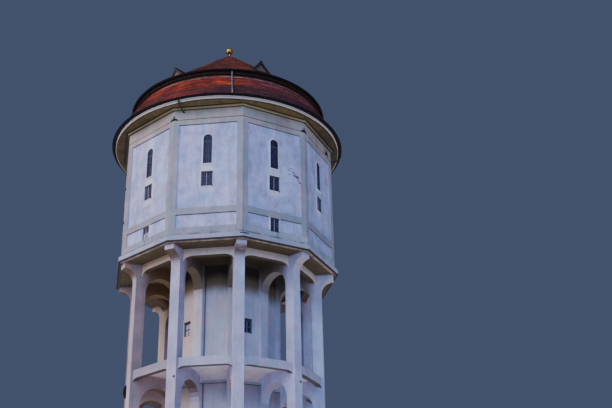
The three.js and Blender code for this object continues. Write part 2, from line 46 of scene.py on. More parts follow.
PIER_CLEAN = (0.67, 0.66, 0.84)
PIER_DULL = (0.45, 0.44, 0.58)
GRIME = (0.13, 0.105, 0.085)
SOOT_AND_SHADE = (0.022, 0.018, 0.015)
UNDERSIDE_SHADE = (0.36, 0.32, 0.32)
WEST_UNDERSIDE_SHADE = (0.085, 0.062, 0.028)
WEST_ARCH = (0.17, 0.145, 0.085)
EAST_ARCH = (0.27, 0.235, 0.20)
INNER_STAIN = (0.20, 0.145, 0.075)
HEAD_DARKENING = (0.075, 0.055, 0.05)
WEST_INMOST_SHADE = (0.21, 0.16, 0.06)
EAST_INMOST_SHADE = (0.070, 0.053, 0.026)
COOL_LIME = (0.88, 1.0, 1.03)
WARM_LIME = (1.07, 0.98, 1.0)
WEST_WARM_LIGHT = (1.08, 0.96, 0.80)
PLASTER_BUMP = 0.012


def arithmetic(operation, swapped=False):
    """A method that adds one arithmetic step to a node tree, with its two values in either order."""
    def step(first, second=None):
        return number(operation, second, first) if swapped else number(operation, first, second)
    return step


class Wire:
    """What a socket in a node tree gives out. Plain arithmetic on wires adds the nodes that work it out."""

    def __init__(self, socket):
        self.socket = socket
        self.tree = socket.id_data

    __add__ = __radd__ = arithmetic("ADD")
    __sub__ = arithmetic("SUBTRACT")
    __rsub__ = arithmetic("SUBTRACT", swapped=True)
    __mul__ = __rmul__ = arithmetic("MULTIPLY")
    __truediv__ = arithmetic("DIVIDE")
    __mod__ = arithmetic("MODULO")
    __abs__ = arithmetic("ABSOLUTE")


def tree_of(*values):
    return next(value.tree for value in values if isinstance(value, Wire))


def plug(socket, value):
    """Joins a wire to a socket or sets the socket to a value, where a colour gets its alpha of one."""
    if isinstance(value, Wire):
        value.tree.links.new(value.socket, socket)
    elif socket.type == "RGBA":
        socket.default_value = (*value, 1)
    else:
        socket.default_value = value


def feed(node, **values):
    """Gives a node's inputs their values by name, with an underscore for a space."""
    for label, value in values.items():
        plug(node.inputs[label.replace("_", " ")], value)


def fed(tree, kind, **values):
    """A new node with its inputs fed, as the wire of its first output."""
    node = tree.nodes.new(kind)
    feed(node, **values)
    return Wire(node.outputs[0])


def number(operation, *values):
    """One arithmetic step in a node tree."""
    node = tree_of(*values).nodes.new("ShaderNodeMath")
    node.operation = operation
    for socket, value in zip(node.inputs, values):
        if value is not None:
            plug(socket, value)
    return Wire(node.outputs[0])


def between(value, low, high, to_low=0.0, to_high=1.0):
    """A value eased from one range to another, and held at its ends."""
    node = value.tree.nodes.new("ShaderNodeMapRange")
    node.interpolation_type = "SMOOTHSTEP"
    for socket, given in zip(node.inputs, (value, low, high, to_low, to_high)):
        plug(socket, given)
    return Wire(node.outputs[0])


def fading(value, low, high, most=1.0):
    """The most at the low end of a range, eased to nothing at its high end."""
    return between(value, low, high, most, 0.0)


def band(value, low, high, soft=0.006):
    """One inside a range of a value and nothing outside it, with soft ends."""
    return between(value, low - soft, low + soft) * fading(value, high - soft, high + soft)


def mixed(amount, first, second, blend="MIX"):
    """Two colours mixed by an amount."""
    node = tree_of(amount, first, second).nodes.new("ShaderNodeMix")
    node.data_type = "RGBA"
    node.blend_type = blend
    for index, value in ((0, amount), (6, first), (7, second)):
        plug(node.inputs[index], value)
    return Wire(node.outputs[2])


def layered(colour, *layers):
    """A colour with others laid over it in turn, each by its own amount, or multiplied into it."""
    for amount, over, *blend in layers:
        colour = mixed(amount, colour, over, *blend)
    return colour


def shaded(colour, shade):
    """A colour made darker or lighter by a number."""
    grey = fed(shade.tree, "ShaderNodeCombineColor", Red=shade, Green=shade, Blue=shade)
    return mixed(1.0, colour, grey, "MULTIPLY")


def noise(place, scale, detail=4.0, rough=0.55):
    return fed(place.tree, "ShaderNodeTexNoise", Vector=place, Scale=scale, Detail=detail, Roughness=rough)


def streaks(place, across, upward, detail, rough):
    """Noise scaled differently across and upwards, which runs down or along."""
    stretched = fed(place.tree, "ShaderNodeMapping", Vector=place, Scale=(across, across, upward))
    return noise(stretched, 1.0, detail, rough)


def parted(vector):
    """The three numbers of a place or a direction."""
    node = vector.tree.nodes.new("ShaderNodeSeparateXYZ")
    feed(node, Vector=vector)
    return [Wire(share) for share in node.outputs]


def wires_of(node):
    return {socket.name: Wire(socket) for socket in node.outputs if socket.name}


def new_tree(kind, name, inputs, outputs):
    """A node group with named sockets: its tree, its wires and the node that takes its results."""
    tree = bpy.data.node_groups.new(name, kind)
    for direction, sockets in (("INPUT", inputs), ("OUTPUT", outputs)):
        for label, form in sockets.items():
            label = label.replace("_", " ")
            tree.interface.new_socket(label, in_out=direction, socket_type="NodeSocket" + form)
    return tree, wires_of(tree.nodes.new("NodeGroupInput")), tree.nodes.new("NodeGroupOutput")


def aged_plaster_group():
    """Limewashed plaster: broad dull patches, brushed mottling, rain streaks and a fine rubbed grain."""
    inputs = dict(Place="Vector", Clean="Color", Dull="Color", Stain="Color")
    inputs.update(Dullness="Float", Streaks="Float", Mottling="Float")
    outputs = dict(Color="Color", Roughness="Float", Height="Float")
    group, given, result = new_tree("ShaderNodeTree", "Aged plaster", inputs, outputs)
    place = given["Place"]
    patches = noise(place, 0.55, 6.0, 0.62)
    rain = streaks(place, 2.6, 0.16, 5.0, 0.6)
    brushed = streaks(place, 2.6, 0.7, 5.0, 0.7) + noise(place, 1.9, 5.0, 0.65) - 1.0
    grain = noise(place, 11.0, 6.0, 0.7)
    drift = streaks(place, 1.3, 0.8, 4.0, 0.6)
    colour = layered(
        given["Clean"],
        (between(patches, 0.36, 0.66) * given["Dullness"], given["Dull"]),
        (between(rain, 0.52, 0.78) * given["Streaks"], given["Stain"]),
        (1.0, mixed(between(drift, 0.36, 0.64), COOL_LIME, WARM_LIME), "MULTIPLY"),
    )
    lift = between(grain, 0.3, 0.7, 0.93, 1.04) * (brushed * given["Mottling"] + 1.0)
    roughness = between(grain, 0.3, 0.7, 0.82, 0.96)
    feed(result, Color=shaded(colour, lift), Roughness=roughness, Height=grain + patches)
    return group


def side_coordinates_group():
    """Distance across one of the ten sides from its middle, distance out from the axis, and height.
    Eastward runs from minus one on the west to one on the east, and has no seam at the back."""
    outputs = dict.fromkeys(("Across", "Outward", "Height", "Side", "Radius", "Azimuth", "Eastward"), "Float")
    group, given, result = new_tree("ShaderNodeTree", "Ten side coordinates", {"Place": "Vector"}, outputs)
    east, north, height = parted(given["Place"])
    azimuth = number("ARCTAN2", east, north * -1.0)
    sides = azimuth / SIDE_ANGLE
    local = (number("FRACT", sides) - 0.5) * SIDE_ANGLE
    radius = number("SQRT", north * north + east * east)
    feed(result, Across=radius * number("SINE", local), Outward=radius * number("COSINE", local))
    feed(result, Height=height, Side=number("FLOOR", sides), Radius=radius)
    feed(result, Azimuth=azimuth, Eastward=number("SINE", azimuth))
    return group


def new_material(name):
    """A material, its shader and the object's own coordinates."""
    material = bpy.data.materials.new(name)
    material.use_nodes = True
    tree = material.node_tree
    place = tree.nodes.new("ShaderNodeTexCoord").outputs["Object"]
    return material, tree.nodes["Principled BSDF"], Wire(place)


def placed(group, **values):
    """A group set in a material with its inputs fed, as its wires by name."""
    node = tree_of(*values.values()).nodes.new("ShaderNodeGroup")
    node.node_tree = group
    feed(node, **values)
    return wires_of(node)


aged_plaster = aged_plaster_group()
side_coordinates = side_coordinates_group()


def limewash(place, clean, dull, dullness, rain, mottling, stain=GRIME):
    return placed(aged_plaster, Place=place, Clean=clean, Dull=dull, Stain=stain, Dullness=dullness,
                  Streaks=rain, Mottling=mottling)


def surface_normal(place):
    """The way a surface faces, as its shares eastwards, northwards and upwards."""
    return parted(Wire(place.tree.nodes.new("ShaderNodeNewGeometry").outputs["Normal"]))


def surfaced(shader, colour, roughness, height, depth, strength):
    """Gives a shader its colour, its roughness and a bump of a depth in metres."""
    bump = fed(shader.id_data, "ShaderNodeBump", Distance=depth, Strength=strength, Height=height)
    feed(shader, Base_Color=colour, Roughness=roughness, Normal=bump)


def plastered(shader, plaster, colour):
    surfaced(shader, colour, plaster["Roughness"], plaster["Height"], PLASTER_BUMP, 0.6)


def finish_with(material, *names):
    """Gives nodes of the tower a material of their own."""
    for name in names:
        mesh = nodes[name].data
        mesh.materials.clear()
        mesh.materials.append(material)


def pier_plaster_material():
    material, shader, place = new_material("pier_plaster")
    plaster = limewash(place, PIER_CLEAN, PIER_DULL, 0.8, 0.3, 0.35)
    sides = placed(side_coordinates, Place=place)
    height, radius, azimuth, eastward = [sides[name] for name in ("Height", "Radius", "Azimuth", "Eastward")]
    lean_east, lean_north, upward = surface_normal(place)
    clockwise = lean_east * number("COSINE", azimuth) + lean_north * number("SINE", azimuth)
    head = band(height, 20.30, 20.62, 0.16) * between(radius, 5.30, 5.42) * band(azimuth, -0.15, 0.15, 0.01)
    inmost_shade = between(radius, 5.0, 3.6) * between(height, 19.3, 20.6)
    arch_foot = between(eastward, 0.1, 0.48, -0.12, -0.9)
    arch = between(radius, 4.9, 4.6) * between(height, 17.0, 17.4) * fading(upward, arch_foot, -0.01, 0.85)
    west = fading(eastward, -0.87, -0.68)
    # painted light and shade on the pier sides that face clockwise: darker, warmer in the west, and sunlit on
    # one pier
    cheek_shading = mixed(west, (0.80, 0.75, 0.74), (0.68, 0.60, 0.54))
    sunny_cheek = (1.06, 0.89, 0.55)
    cheek_shading = mixed(band(azimuth, -2.70, -2.33, 0.02), cheek_shading, sunny_cheek)
    round_light = mixed(between(eastward, -0.78, 0.56), (0.95, 0.89, 0.94), (1.03, 1.08, 1.18))
    colour = layered(
        plaster["Color"],
        # painted shade: faces that look downwards are darker, and the curved heads of the western piers
        # darker still
        (fading(upward, -0.85, -0.15, 0.75), UNDERSIDE_SHADE),
        (fading(eastward, -0.44, -0.30) * fading(upward, -0.85, -0.08, 0.9), WEST_UNDERSIDE_SHADE),
        (between(radius, 5.05, 4.4) * between(height, 17.7, 19.6) * 0.8, INNER_STAIN),
        # a darker, speckled patch under the cap of one pier head
        (head * between(noise(place, 5.0, 5.0, 0.7), 0.3, 0.6, 0.6, 0.95), HEAD_DARKENING),
        # painted shade: the inner parts of the piers high under the tank floor are darkened
        (inmost_shade * 0.8, mixed(fading(eastward, -0.68, -0.48), EAST_INMOST_SHADE, WEST_INMOST_SHADE)),
        (arch, mixed(between(eastward, 0.1, 0.48), WEST_ARCH, EAST_ARCH)),
        # painted warm light on the western piers
        (west, WEST_WARM_LIGHT, "MULTIPLY"),
        # painted light and shade on the sides that face clockwise
        (between(clockwise, 0.5, 0.8), cheek_shading, "MULTIPLY"),
        (1.0, round_light, "MULTIPLY"),
        (band(height, TANK_UNDERSIDE - 0.07, TANK_UNDERSIDE, 0.02) * 0.7, GRIME),
    )
    plastered(shader, plaster, colour)
    return material


finish_with(pier_plaster_material(), *[f"pier_{corner + 1}" for corner in range(SIDES)])

# Stair shaft
# A ten-sided tube of rendered brick, with a pilaster on each corner and small windows on every second side.
# Damp and soot with painted shade turn it nearly black under the tank, and painted shade darkens it under
# each gallery.
STOREY = 5.75
TOP_GALLERY = 15.12
COVE_FOOT = 14.44
SHAFT_FACE = 2.7105
SHAFT_CLEAN = (0.80, 0.74, 0.86)
SHAFT_DULL = (0.62, 0.57, 0.66)
SHAFT_DAMP_AND_SHADE = (0.16, 0.125, 0.062)
JOINT_SHADE = (0.055, 0.042, 0.036)


def shaft_plaster_material():
    material, shader, place = new_material("shaft_plaster")
    plaster = limewash(place, SHAFT_CLEAN, SHAFT_DULL, 0.7, 0.35, 0.3)
    sides = placed(side_coordinates, Place=place)
    height, eastward = sides["Height"], sides["Eastward"]
    level = streaks(place, 2.2, 0.35, 5.0, 0.6) * 0.7 + height
    off_pilaster = between(sides["Outward"], 2.72, 2.80, 0.97, 0.6)
    below_cove = (COVE_FOOT + 2 * STOREY - height) % STOREY
    under_gallery = fading(height, TOP_GALLERY, TOP_GALLERY + 0.2)
    # a painted shadow in a line beside each pilaster, on one side only
    joint_and_shadow = band(sides["Across"], -0.600, -0.520, 0.012) * band(sides["Azimuth"], -SIDE_ANGLE, 0.0, 0.001)
    colour = layered(
        plaster["Color"],
        # painted shade: the eastern sides are darker and bluer
        (between(eastward, 0.10, 0.14), (0.80, 0.85, 0.94), "MULTIPLY"),
        # damp and soot with painted shade: the top of the shaft under the tank goes brown, then nearly black
        (between(level, 19.25, 20.15) * off_pilaster, SHAFT_DAMP_AND_SHADE),
        (between(level, 20.15, 20.75) * off_pilaster, SOOT_AND_SHADE),
        # painted shade under each gallery, darkest in a line at the foot of the cove
        (fading(below_cove, 0.0, 1.7, 0.5) * under_gallery, (0.13, 0.095, 0.095)),
        (fading(below_cove, 0.0, 0.09, 0.85) * under_gallery, SOOT_AND_SHADE),
        # painted warm light on the western side of the shaft
        (fading(eastward, -0.68, -0.565), WEST_WARM_LIGHT, "MULTIPLY"),
        (joint_and_shadow * 0.75, JOINT_SHADE),
    )
    plastered(shader, plaster, colour)
    return material


finish_with(shaft_plaster_material(), *[f"shaft_wall_{part + 1}" for part in range(SIDES // 2)])

# Shaft windows
# Small wooden casements a hand's depth inside the wall, with broad stiles and one cross bar.
# Pale blinds hang behind the panes of one side, in its low window of the tank house as well.
SHAFT_SILLS = 17.10
SHAFT_HEADS = SHAFT_SILLS + 0.80
SHAFT_WINDOW_HALF = 0.25
SHAFT_GLASS = SHAFT_FACE - 0.10
GLASS_TINT = (0.020, 0.017, 0.060)
GLASS_DUST = (0.06, 0.055, 0.12)
BLIND = (0.62, 0.64, 0.72)
BLIND_SIDE = -2.0


def mesh_object(name, mesh):
    made = bpy.data.objects.new(name, mesh)
    bpy.context.scene.collection.objects.link(made)
    return made


def skin(shape, rows, around=True, ring=False):
    """Covers rows of points with faces. The end rows are closed, or joined to each other in a ring."""
    corners = [[shape.verts.new(point) for point in row] for row in rows]
    made = sum(corners, [])
    if ring:
        corners.append(corners[0])
    for here, there in zip(corners, corners[1:]):
        for index in range(len(here) if around else len(here) - 1):
            after = (index + 1) % len(here)
            shape.faces.new((here[index], here[after], there[after], there[index]))
    if not ring:
        shape.faces.new(corners[0])
        shape.faces.new(corners[-1])
    return made


def board_into(shape, left, right, back, front, low, high):
    """Adds a board on the side that faces azimuth 0, from its reach across, outwards and upwards."""
    plan = ((left, -back), (right, -back), (right, -front), (left, -front))
    return skin(shape, [[(across, inward, up) for across, inward in plan] for up in (low, high)])


def finished_mesh(name, shape):
    """Turns a shape into a mesh whose faces point outwards."""
    bmesh.ops.recalc_face_normals(shape, faces=shape.faces)
    mesh = bpy.data.meshes.new(name)
    shape.to_mesh(mesh)
    shape.free()
    return mesh


def boards(name, *reaches, shape=None):
    """A mesh of boards, with what a shape holds already."""
    shape = shape or bmesh.new()
    for reach in reaches:
        board_into(shape, *reach)
    return finished_mesh(name, shape)


def combined(x, y, z):
    return fed(tree_of(x, y, z), "ShaderNodeCombineXYZ", X=x, Y=y, Z=z)


def realized(geometry, finish, output):
    """Ends a tree: instances become one mesh with its finish."""
    solid = fed(geometry.tree, "GeometryNodeRealizeInstances", Geometry=geometry)
    feed(output, Geometry=fed(geometry.tree, "GeometryNodeSetMaterial", Geometry=solid, Material=finish))


def geometry_tree(name, **inputs):
    return new_tree("GeometryNodeTree", name, dict(inputs, Finish="Material"), {"Geometry": "Geometry"})


def lattice_tree():
    """Upright and level bars of one window, on the side that faces azimuth 0."""
    tree, given, output = geometry_tree(
        "Window lattice", Width="Float", Height="Float", Columns="Int", Rows="Int", Bar="Float",
        Depth="Float", Sill="Float", Face="Float",
    )
    width, height, depth, bar = [given[name] for name in ("Width", "Height", "Depth", "Bar")]
    middle_up = height * 0.5 + given["Sill"]
    middle_out = depth * 0.5 - given["Face"]
    joined = tree.nodes.new("GeometryNodeJoinGeometry")
    for spaces, extent, size in (
        ("Columns", width, (bar, depth, height)),
        ("Rows", height, (width, depth * 0.9, bar)),
    ):
        clear = extent - bar
        start = clear * -0.5
        step = clear / given[spaces]
        first = combined(start, middle_out, middle_up)
        offset = combined(step, 0.0, 0.0)
        if spaces == "Rows":
            first = combined(0.0, middle_out, middle_up + start)
            offset = combined(0.0, 0.0, step)
        count = given[spaces] + 1.0
        line = fed(tree, "GeometryNodeMeshLine", Count=count, Start_Location=first, Offset=offset)
        one_bar = fed(tree, "GeometryNodeMeshCube", Size=combined(*size))
        feed(joined, Geometry=fed(tree, "GeometryNodeInstanceOnPoints", Points=line, Instance=one_bar))
    realized(Wire(joined.outputs[0]), given["Finish"], output)
    return tree


def copied(count, place, angles, pattern, **more):
    """Instances of an object, as many as counted, each at its own place and angles."""
    tree = count.tree
    points = fed(tree, "GeometryNodePoints", Count=count)
    moved = fed(tree, "GeometryNodeSetPosition", Geometry=points, Position=place)
    turned = fed(tree, "FunctionNodeEulerToRotation", Euler=angles)
    info = tree.nodes.new("GeometryNodeObjectInfo")
    feed(info, Object=pattern)
    return fed(tree, "GeometryNodeInstanceOnPoints", Points=moved, Instance=Wire(info.outputs["Geometry"]),
               Rotation=turned, **more)


def counted_off(tree, count):
    """Numbers instances by rows of a count: the number of each, its row and its place in the row."""
    index = fed(tree, "GeometryNodeInputIndex")
    row = number("FLOOR", (index + 0.5) / count)
    return index, row, index - row * count


def copies_tree():
    """Copies of a pattern turned round the tower's axis, and repeated storey by storey."""
    tree, given, output = geometry_tree(
        "Copies round the tower", Pattern="Object", Count="Int", First="Float", Step="Float",
        Levels="Int", Drop="Float",
    )
    index, level, place_in_level = counted_off(tree, given["Count"])
    azimuth = place_in_level * given["Step"] + given["First"]
    down = combined(0.0, 0.0, level * given["Drop"] * -1.0)
    total = given["Count"] * given["Levels"]
    realized(copied(total, down, combined(0.0, 0.0, azimuth), given["Pattern"]), given["Finish"], output)
    return tree


def grown_mesh(name, tree, **values):
    """The plain mesh that a node tree makes with these inputs."""
    maker = mesh_object(name, bpy.data.meshes.new(name))
    modifier = maker.modifiers.new("pattern", "NODES")
    modifier.node_group = tree
    for item in tree.interface.items_tree:
        label = item.name.replace(" ", "_")
        if item.in_out == "INPUT" and label in values:
            modifier[item.identifier] = values[label]
    depsgraph = bpy.context.evaluated_depsgraph_get()
    mesh = bpy.data.meshes.new_from_object(
        maker.evaluated_get(depsgraph), preserve_all_data_layers=True, depsgraph=depsgraph
    )
    maker.modifiers.clear()
    bpy.data.objects.remove(maker)
    mesh.name = name
    return mesh


def piece_of(name, mesh):
    """A finished piece that belongs to the standing tower."""
    piece = mesh_object(name, mesh)
    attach(piece, "root")
    return piece


lattice = lattice_tree()
copies = copies_tree()


def round_the_tower(
    name, pattern_mesh, finish, count=SIDES, first=0.5, step=1.0, levels=1, drop=0.0
):
    """Puts copies of a mesh on the sides of the tower, counted in sides from azimuth 0."""
    pattern = mesh_object("pattern", pattern_mesh)
    mesh = grown_mesh(name, copies, Pattern=pattern, Count=count, First=first * SIDE_ANGLE,
                      Step=step * SIDE_ANGLE, Levels=levels, Drop=drop, Finish=finish)
    bpy.data.objects.remove(pattern)
    return piece_of(name, mesh)


def painted_wood_material(name, paint, worn, wear=0.5):
    """Oil paint on wood, chalky and rubbed through in places."""
    material, shader, place = new_material(name)
    patches = noise(place, 3.0, 5.0, 0.65)
    grain = streaks(place, 40.0, 4.0, 4.0, 0.6)
    colour = mixed(between(patches, 0.42, 0.7) * wear, paint, worn)
    colour = shaded(colour, between(grain, 0.3, 0.7, 0.82, 1.1))
    surfaced(shader, colour, between(patches, 0.3, 0.7, 0.45, 0.85), grain, 0.002, 0.5)
    return material


def window_glass_material():
    """Old dark glass with dust in its corners and a slight waviness."""
    material, shader, place = new_material("window_glass")
    dust = noise(place, 6.0, 5.0, 0.65)
    sides = placed(side_coordinates, Place=place)
    height = sides["Height"]
    hung = fading(height, 20.0, 20.1) + band(height, 21.5, 22.02, 0.03)
    on_blind_side = band(sides["Side"], BLIND_SIDE - 0.5, BLIND_SIDE + 0.5, 0.1)
    hung = hung * between(dust, 0.3, 0.42, 0.5, 1.0) * on_blind_side
    colour = layered(
        GLASS_TINT,
        (between(dust, 0.45, 0.8, 0.0, 0.5), GLASS_DUST),
        (hung, BLIND),
        # painted shadow under the arched heads of the tank house windows
        (band(height, 26.64, 27.10) * 0.6, (0.006, 0.005, 0.012)),
    )
    feed(shader, Specular_IOR_Level=0.35)
    surfaced(shader, colour, between(dust, 0.3, 0.75, 0.12, 0.5), noise(place, 2.2, 2.0, 0.5), 0.01, 0.25)
    return material


def shaft_lintel():
    """A dark board painted as the shade over the casement, and the dark outer frame beside it."""
    half, back, stile = SHAFT_WINDOW_HALF, SHAFT_GLASS - 0.01, 0.02
    return boards(
        "shaft_lintel",
        (-half, half, back, SHAFT_FACE - 0.01, SHAFT_HEADS - 0.075, SHAFT_HEADS),
        (-half, half, back, SHAFT_GLASS + 0.03, SHAFT_SILLS, SHAFT_SILLS + 0.03),
        (-half, -half + stile, back, SHAFT_GLASS + 0.045, SHAFT_SILLS, SHAFT_HEADS - 0.07),
        (half - stile, half, back, SHAFT_GLASS + 0.045, SHAFT_SILLS, SHAFT_HEADS - 0.07),
    )


window_glass = window_glass_material()
# dark paint for the window frames, and for the boards that stand in for shade in the window heads
frame_and_shade_paint = painted_wood_material("dark_window_frame", (0.035, 0.034, 0.045), (0.09, 0.085, 0.09))
pale_bar = painted_wood_material("pale_window_bar", (0.36, 0.36, 0.47), (0.22, 0.21, 0.28))
stile_paint = painted_wood_material("stile_paint", (0.10, 0.09, 0.15), (0.16, 0.16, 0.20))
finish_with(window_glass, "shaft_windows_1", "shaft_windows_2", "shaft_windows_3")
shaft_sash = grown_mesh(
    "shaft_sash", lattice, Width=2 * SHAFT_WINDOW_HALF - 0.05, Height=SHAFT_HEADS - SHAFT_SILLS - 0.10,
    Columns=1, Rows=2, Bar=0.05, Depth=0.03, Sill=SHAFT_SILLS + 0.025, Face=SHAFT_GLASS + 0.03,
    Finish=stile_paint,
)
shaft_bars = boards(
    "shaft_bars",
    (-0.015, 0.015, SHAFT_GLASS, SHAFT_GLASS + 0.022, SHAFT_SILLS + 0.05, SHAFT_HEADS - 0.10),
    (-0.10, 0.12, SHAFT_GLASS + 0.03, SHAFT_FACE - 0.02, SHAFT_SILLS, SHAFT_SILLS + 0.05),
)
for part, part_mesh, slot_name, finish in (
    ("frames", shaft_lintel(), "dark_boards", frame_and_shade_paint),
    ("sashes", shaft_sash, "eaves_boards", stile_paint),
    ("bars", shaft_bars, "eaves_boards", pale_bar),
):
    round_the_tower(f"shaft_window_{part}", part_mesh, finish, 5, 0.5, 2.0, 3, STOREY)

# Tie plates and edge plate
# Round iron plates on the ends of the rods that run through every second pier, just under each gallery.
# On one pier a black half-round plate also stands on edge at the corner, left from some old fitting.
PIER_FACE = 5.30
PIER_HALF = 0.26
TIE_PLATE = 0.075
TIE_PLATE_PLACE = (0.15, -PIER_FACE, 14.18)
EDGE_PLATE_HALF = 0.36
EDGE_PLATE_REACH = 0.18
EDGE_PLATE_HEIGHT = 14.12
EDGE_PLATE_PARTS = 12


def cone_into(shape, where, segments, back_radius, front_radius, depth):
    """Adds a flat cone that faces outwards, moved by a matrix."""
    cone = bmesh.ops.create_cone(shape, cap_ends=True, segments=segments, radius1=back_radius,
                                 radius2=front_radius, depth=depth)["verts"]
    bmesh.ops.transform(shape, matrix=where @ Matrix.Rotation(math.pi / 2, 4, "X"), verts=cone)


def tie_plate():
    shape = bmesh.new()
    for radius, depth in ((TIE_PLATE, 0.03), (TIE_PLATE / 2, 0.07)):
        cone_into(shape, Matrix.Translation(TIE_PLATE_PLACE), 24, radius, radius * 0.85, depth)
    return finished_mesh("tie_plate", shape)


def edge_plate():
    outline = []
    for part in range(EDGE_PLATE_PARTS + 1):
        turn = math.pi * part / EDGE_PLATE_PARTS
        inward = 0.03 - PIER_FACE - EDGE_PLATE_REACH * math.sin(turn)
        outline.append((inward, EDGE_PLATE_HEIGHT + EDGE_PLATE_HALF * math.cos(turn)))
    shape = bmesh.new()
    skin(shape, [[(across - PIER_HALF, *point) for point in outline] for across in (0.005, 0.045)])
    return finished_mesh("edge_plate", shape)


def weathered_metal_material(name, paint, bare, metallic=0.0):
    """Sheet or bar metal under old paint, dulled and spotted by the weather."""
    material, shader, place = new_material(name)
    spots = noise(place, 5.0, 6.0, 0.7)
    film = noise(place, 0.9, 3.0, 0.55)
    colour = mixed(between(spots, 0.52, 0.7, 0.0, 0.8), paint, bare)
    colour = shaded(colour, between(film, 0.3, 0.7, 0.75, 1.2))
    feed(shader, Specular_IOR_Level=0.12, Metallic=metallic)
    surfaced(shader, colour, between(film, 0.3, 0.7, 0.5, 0.75), spots, 0.002, 0.4)
    return material


dark_iron = weathered_metal_material("dark_iron", (0.02, 0.018, 0.018), (0.06, 0.03, 0.018), 0.5)
dull_iron = weathered_metal_material("dull_iron", (0.11, 0.115, 0.16), (0.06, 0.045, 0.04))
round_the_tower("pier_tie_plates", tie_plate(), dull_iron, 5, 1.0, 2.0, 3, STOREY)
round_the_tower("pier_edge_plate", edge_plate(), dark_iron, 1, 8.0)

# Entrance door
# Upright planks on ledges, painted brown and weathered at the foot, shut in its doorway in the shaft.
# A plain iron latch holds it, and no hinge shows.
DOOR_SIDE = -0.5
DOOR_HALF = 0.50
DOOR_FOOT = 0.15
DOOR_HEAD = DOOR_FOOT + 2.10
DOOR_FACE = SHAFT_FACE - 0.12
PLANKS = 7


def plank_door():
    pitch = (2 * DOOR_HALF - 0.02) / PLANKS
    edges = [-DOOR_HALF + 0.01 + plank * pitch for plank in range(PLANKS)]
    foot, head = DOOR_FOOT + 0.012, DOOR_HEAD - 0.012
    planks = [
        (edge + 0.004, edge + pitch - 0.004, DOOR_FACE - 0.01, DOOR_FACE + 0.018, foot, head)
        for edge in edges
    ]
    ledges = [
        (-0.44, 0.44, DOOR_FACE + 0.01, DOOR_FACE + 0.032, DOOR_FOOT + height, DOOR_FOOT + height + 0.12)
        for height in (0.35, 1.75)
    ]
    return boards("plank_door", *planks, *ledges)


door_latch = boards(
    "door_latch",
    (0.33, 0.39, DOOR_FACE + 0.016, DOOR_FACE + 0.024, DOOR_FOOT + 1.05, DOOR_FOOT + 1.27),
    (0.30, 0.37, DOOR_FACE + 0.024, DOOR_FACE + 0.05, DOOR_FOOT + 1.18, DOOR_FOOT + 1.20),
)
door_paint = painted_wood_material("door_paint", (0.13, 0.075, 0.045), (0.24, 0.17, 0.12), 0.6)
round_the_tower("door_planks", plank_door(), door_paint, 1, DOOR_SIDE)
round_the_tower("door_latch", door_latch, dark_iron, 1, DOOR_SIDE)
finish_with(door_paint, "entrance_door")

# Galleries and ground floor
# Concrete cast round the piers and limewashed all over, with soffits and coves painted paler, as light from
# below.
# Painted shade darkens them towards the shaft, a painted shadow runs in a dark line along the foot of the
# beams, and the edges are streaked by rain.
BEAM_FOOT = TOP_GALLERY - 0.42
BEAM_BACK = 4.68
GALLERY_CLEAN = (0.56, 0.55, 0.72)
GALLERY_DULL = (0.42, 0.41, 0.53)
WEST_GALLERY_LIGHT = (0.81, 0.72, 0.69)
LIT_UNDER_CLEAN = (0.93, 0.87, 0.92)
LIT_UNDER_DULL = (0.80, 0.74, 0.80)
UNDER_INNER_SHADE = (0.14, 0.12, 0.15)


def gallery_material():
    material, shader, place = new_material("gallery_concrete")
    sides = placed(side_coordinates, Place=place)
    outward = sides["Outward"]
    upward = surface_normal(place)[2]
    edge = limewash(place, GALLERY_CLEAN, GALLERY_DULL, 0.7, 0.35, 0.35)
    under = limewash(place, LIT_UNDER_CLEAN, LIT_UNDER_DULL, 0.8, 0.25, 0.3)
    above_floor = (sides["Height"] - (BEAM_FOOT - 2 * STOREY - 0.5)) % STOREY
    foot = band(above_floor, 0.28, 0.535, 0.012) * number("GREATER_THAN", outward, BEAM_BACK)
    colour = layered(
        edge["Color"],
        # painted light: faces that look downwards take a paler limewash, as if lit from below
        (fading(upward, -0.7, -0.2), under["Color"]),
        # painted shade towards the shaft on faces that do not look up
        (between(outward, 4.5, 2.9) * fading(upward, -0.1, 0.3) * 0.3, UNDER_INNER_SHADE),
        # a painted shadow in a dark line along the foot of the beams
        (foot * fading(upward, -0.3, -0.1) * 0.9, SOOT_AND_SHADE),
        # painted warm light on the western side
        (fading(sides["Eastward"], -0.613, -0.565), WEST_GALLERY_LIGHT, "MULTIPLY"),
    )
    plastered(shader, edge, colour)
    return material


finish_with(gallery_material(), "gallery_1", "gallery_2", "gallery_3", "ground_floor")

# Tank floor
# A concrete slab that overhangs the piers, its edge limewashed with the base of the walls.
# Underneath it is bare and has gone olive-brown, painted darker towards the shaft as shade, behind a drip
# edge of boards.
SLAB_EDGE = 5.944
DRIP_EDGE = 0.09
DRIP_BOARD = 0.25
SOFFIT_BOARD_WIDTH = 0.133
STRAP_FOOT = 21.09
STRAP_TOP = 21.135
BASE_CLEAN = (0.49, 0.50, 0.66)
BASE_DULL = (0.36, 0.375, 0.49)
EAST_EDGE_LIGHT = (1.12, 1.10, 1.06)
BEAM_CLEAN = (0.98, 0.85, 0.81)
BEAM_DULL = (0.88, 0.74, 0.69)
BEAM_TOP_SHADE = (0.36, 0.29, 0.24)
WEST_BEAM_LIGHT = (0.98, 0.82, 0.64)
BARE_CLEAN = (0.072, 0.055, 0.026)
BARE_DULL = (0.040, 0.031, 0.016)


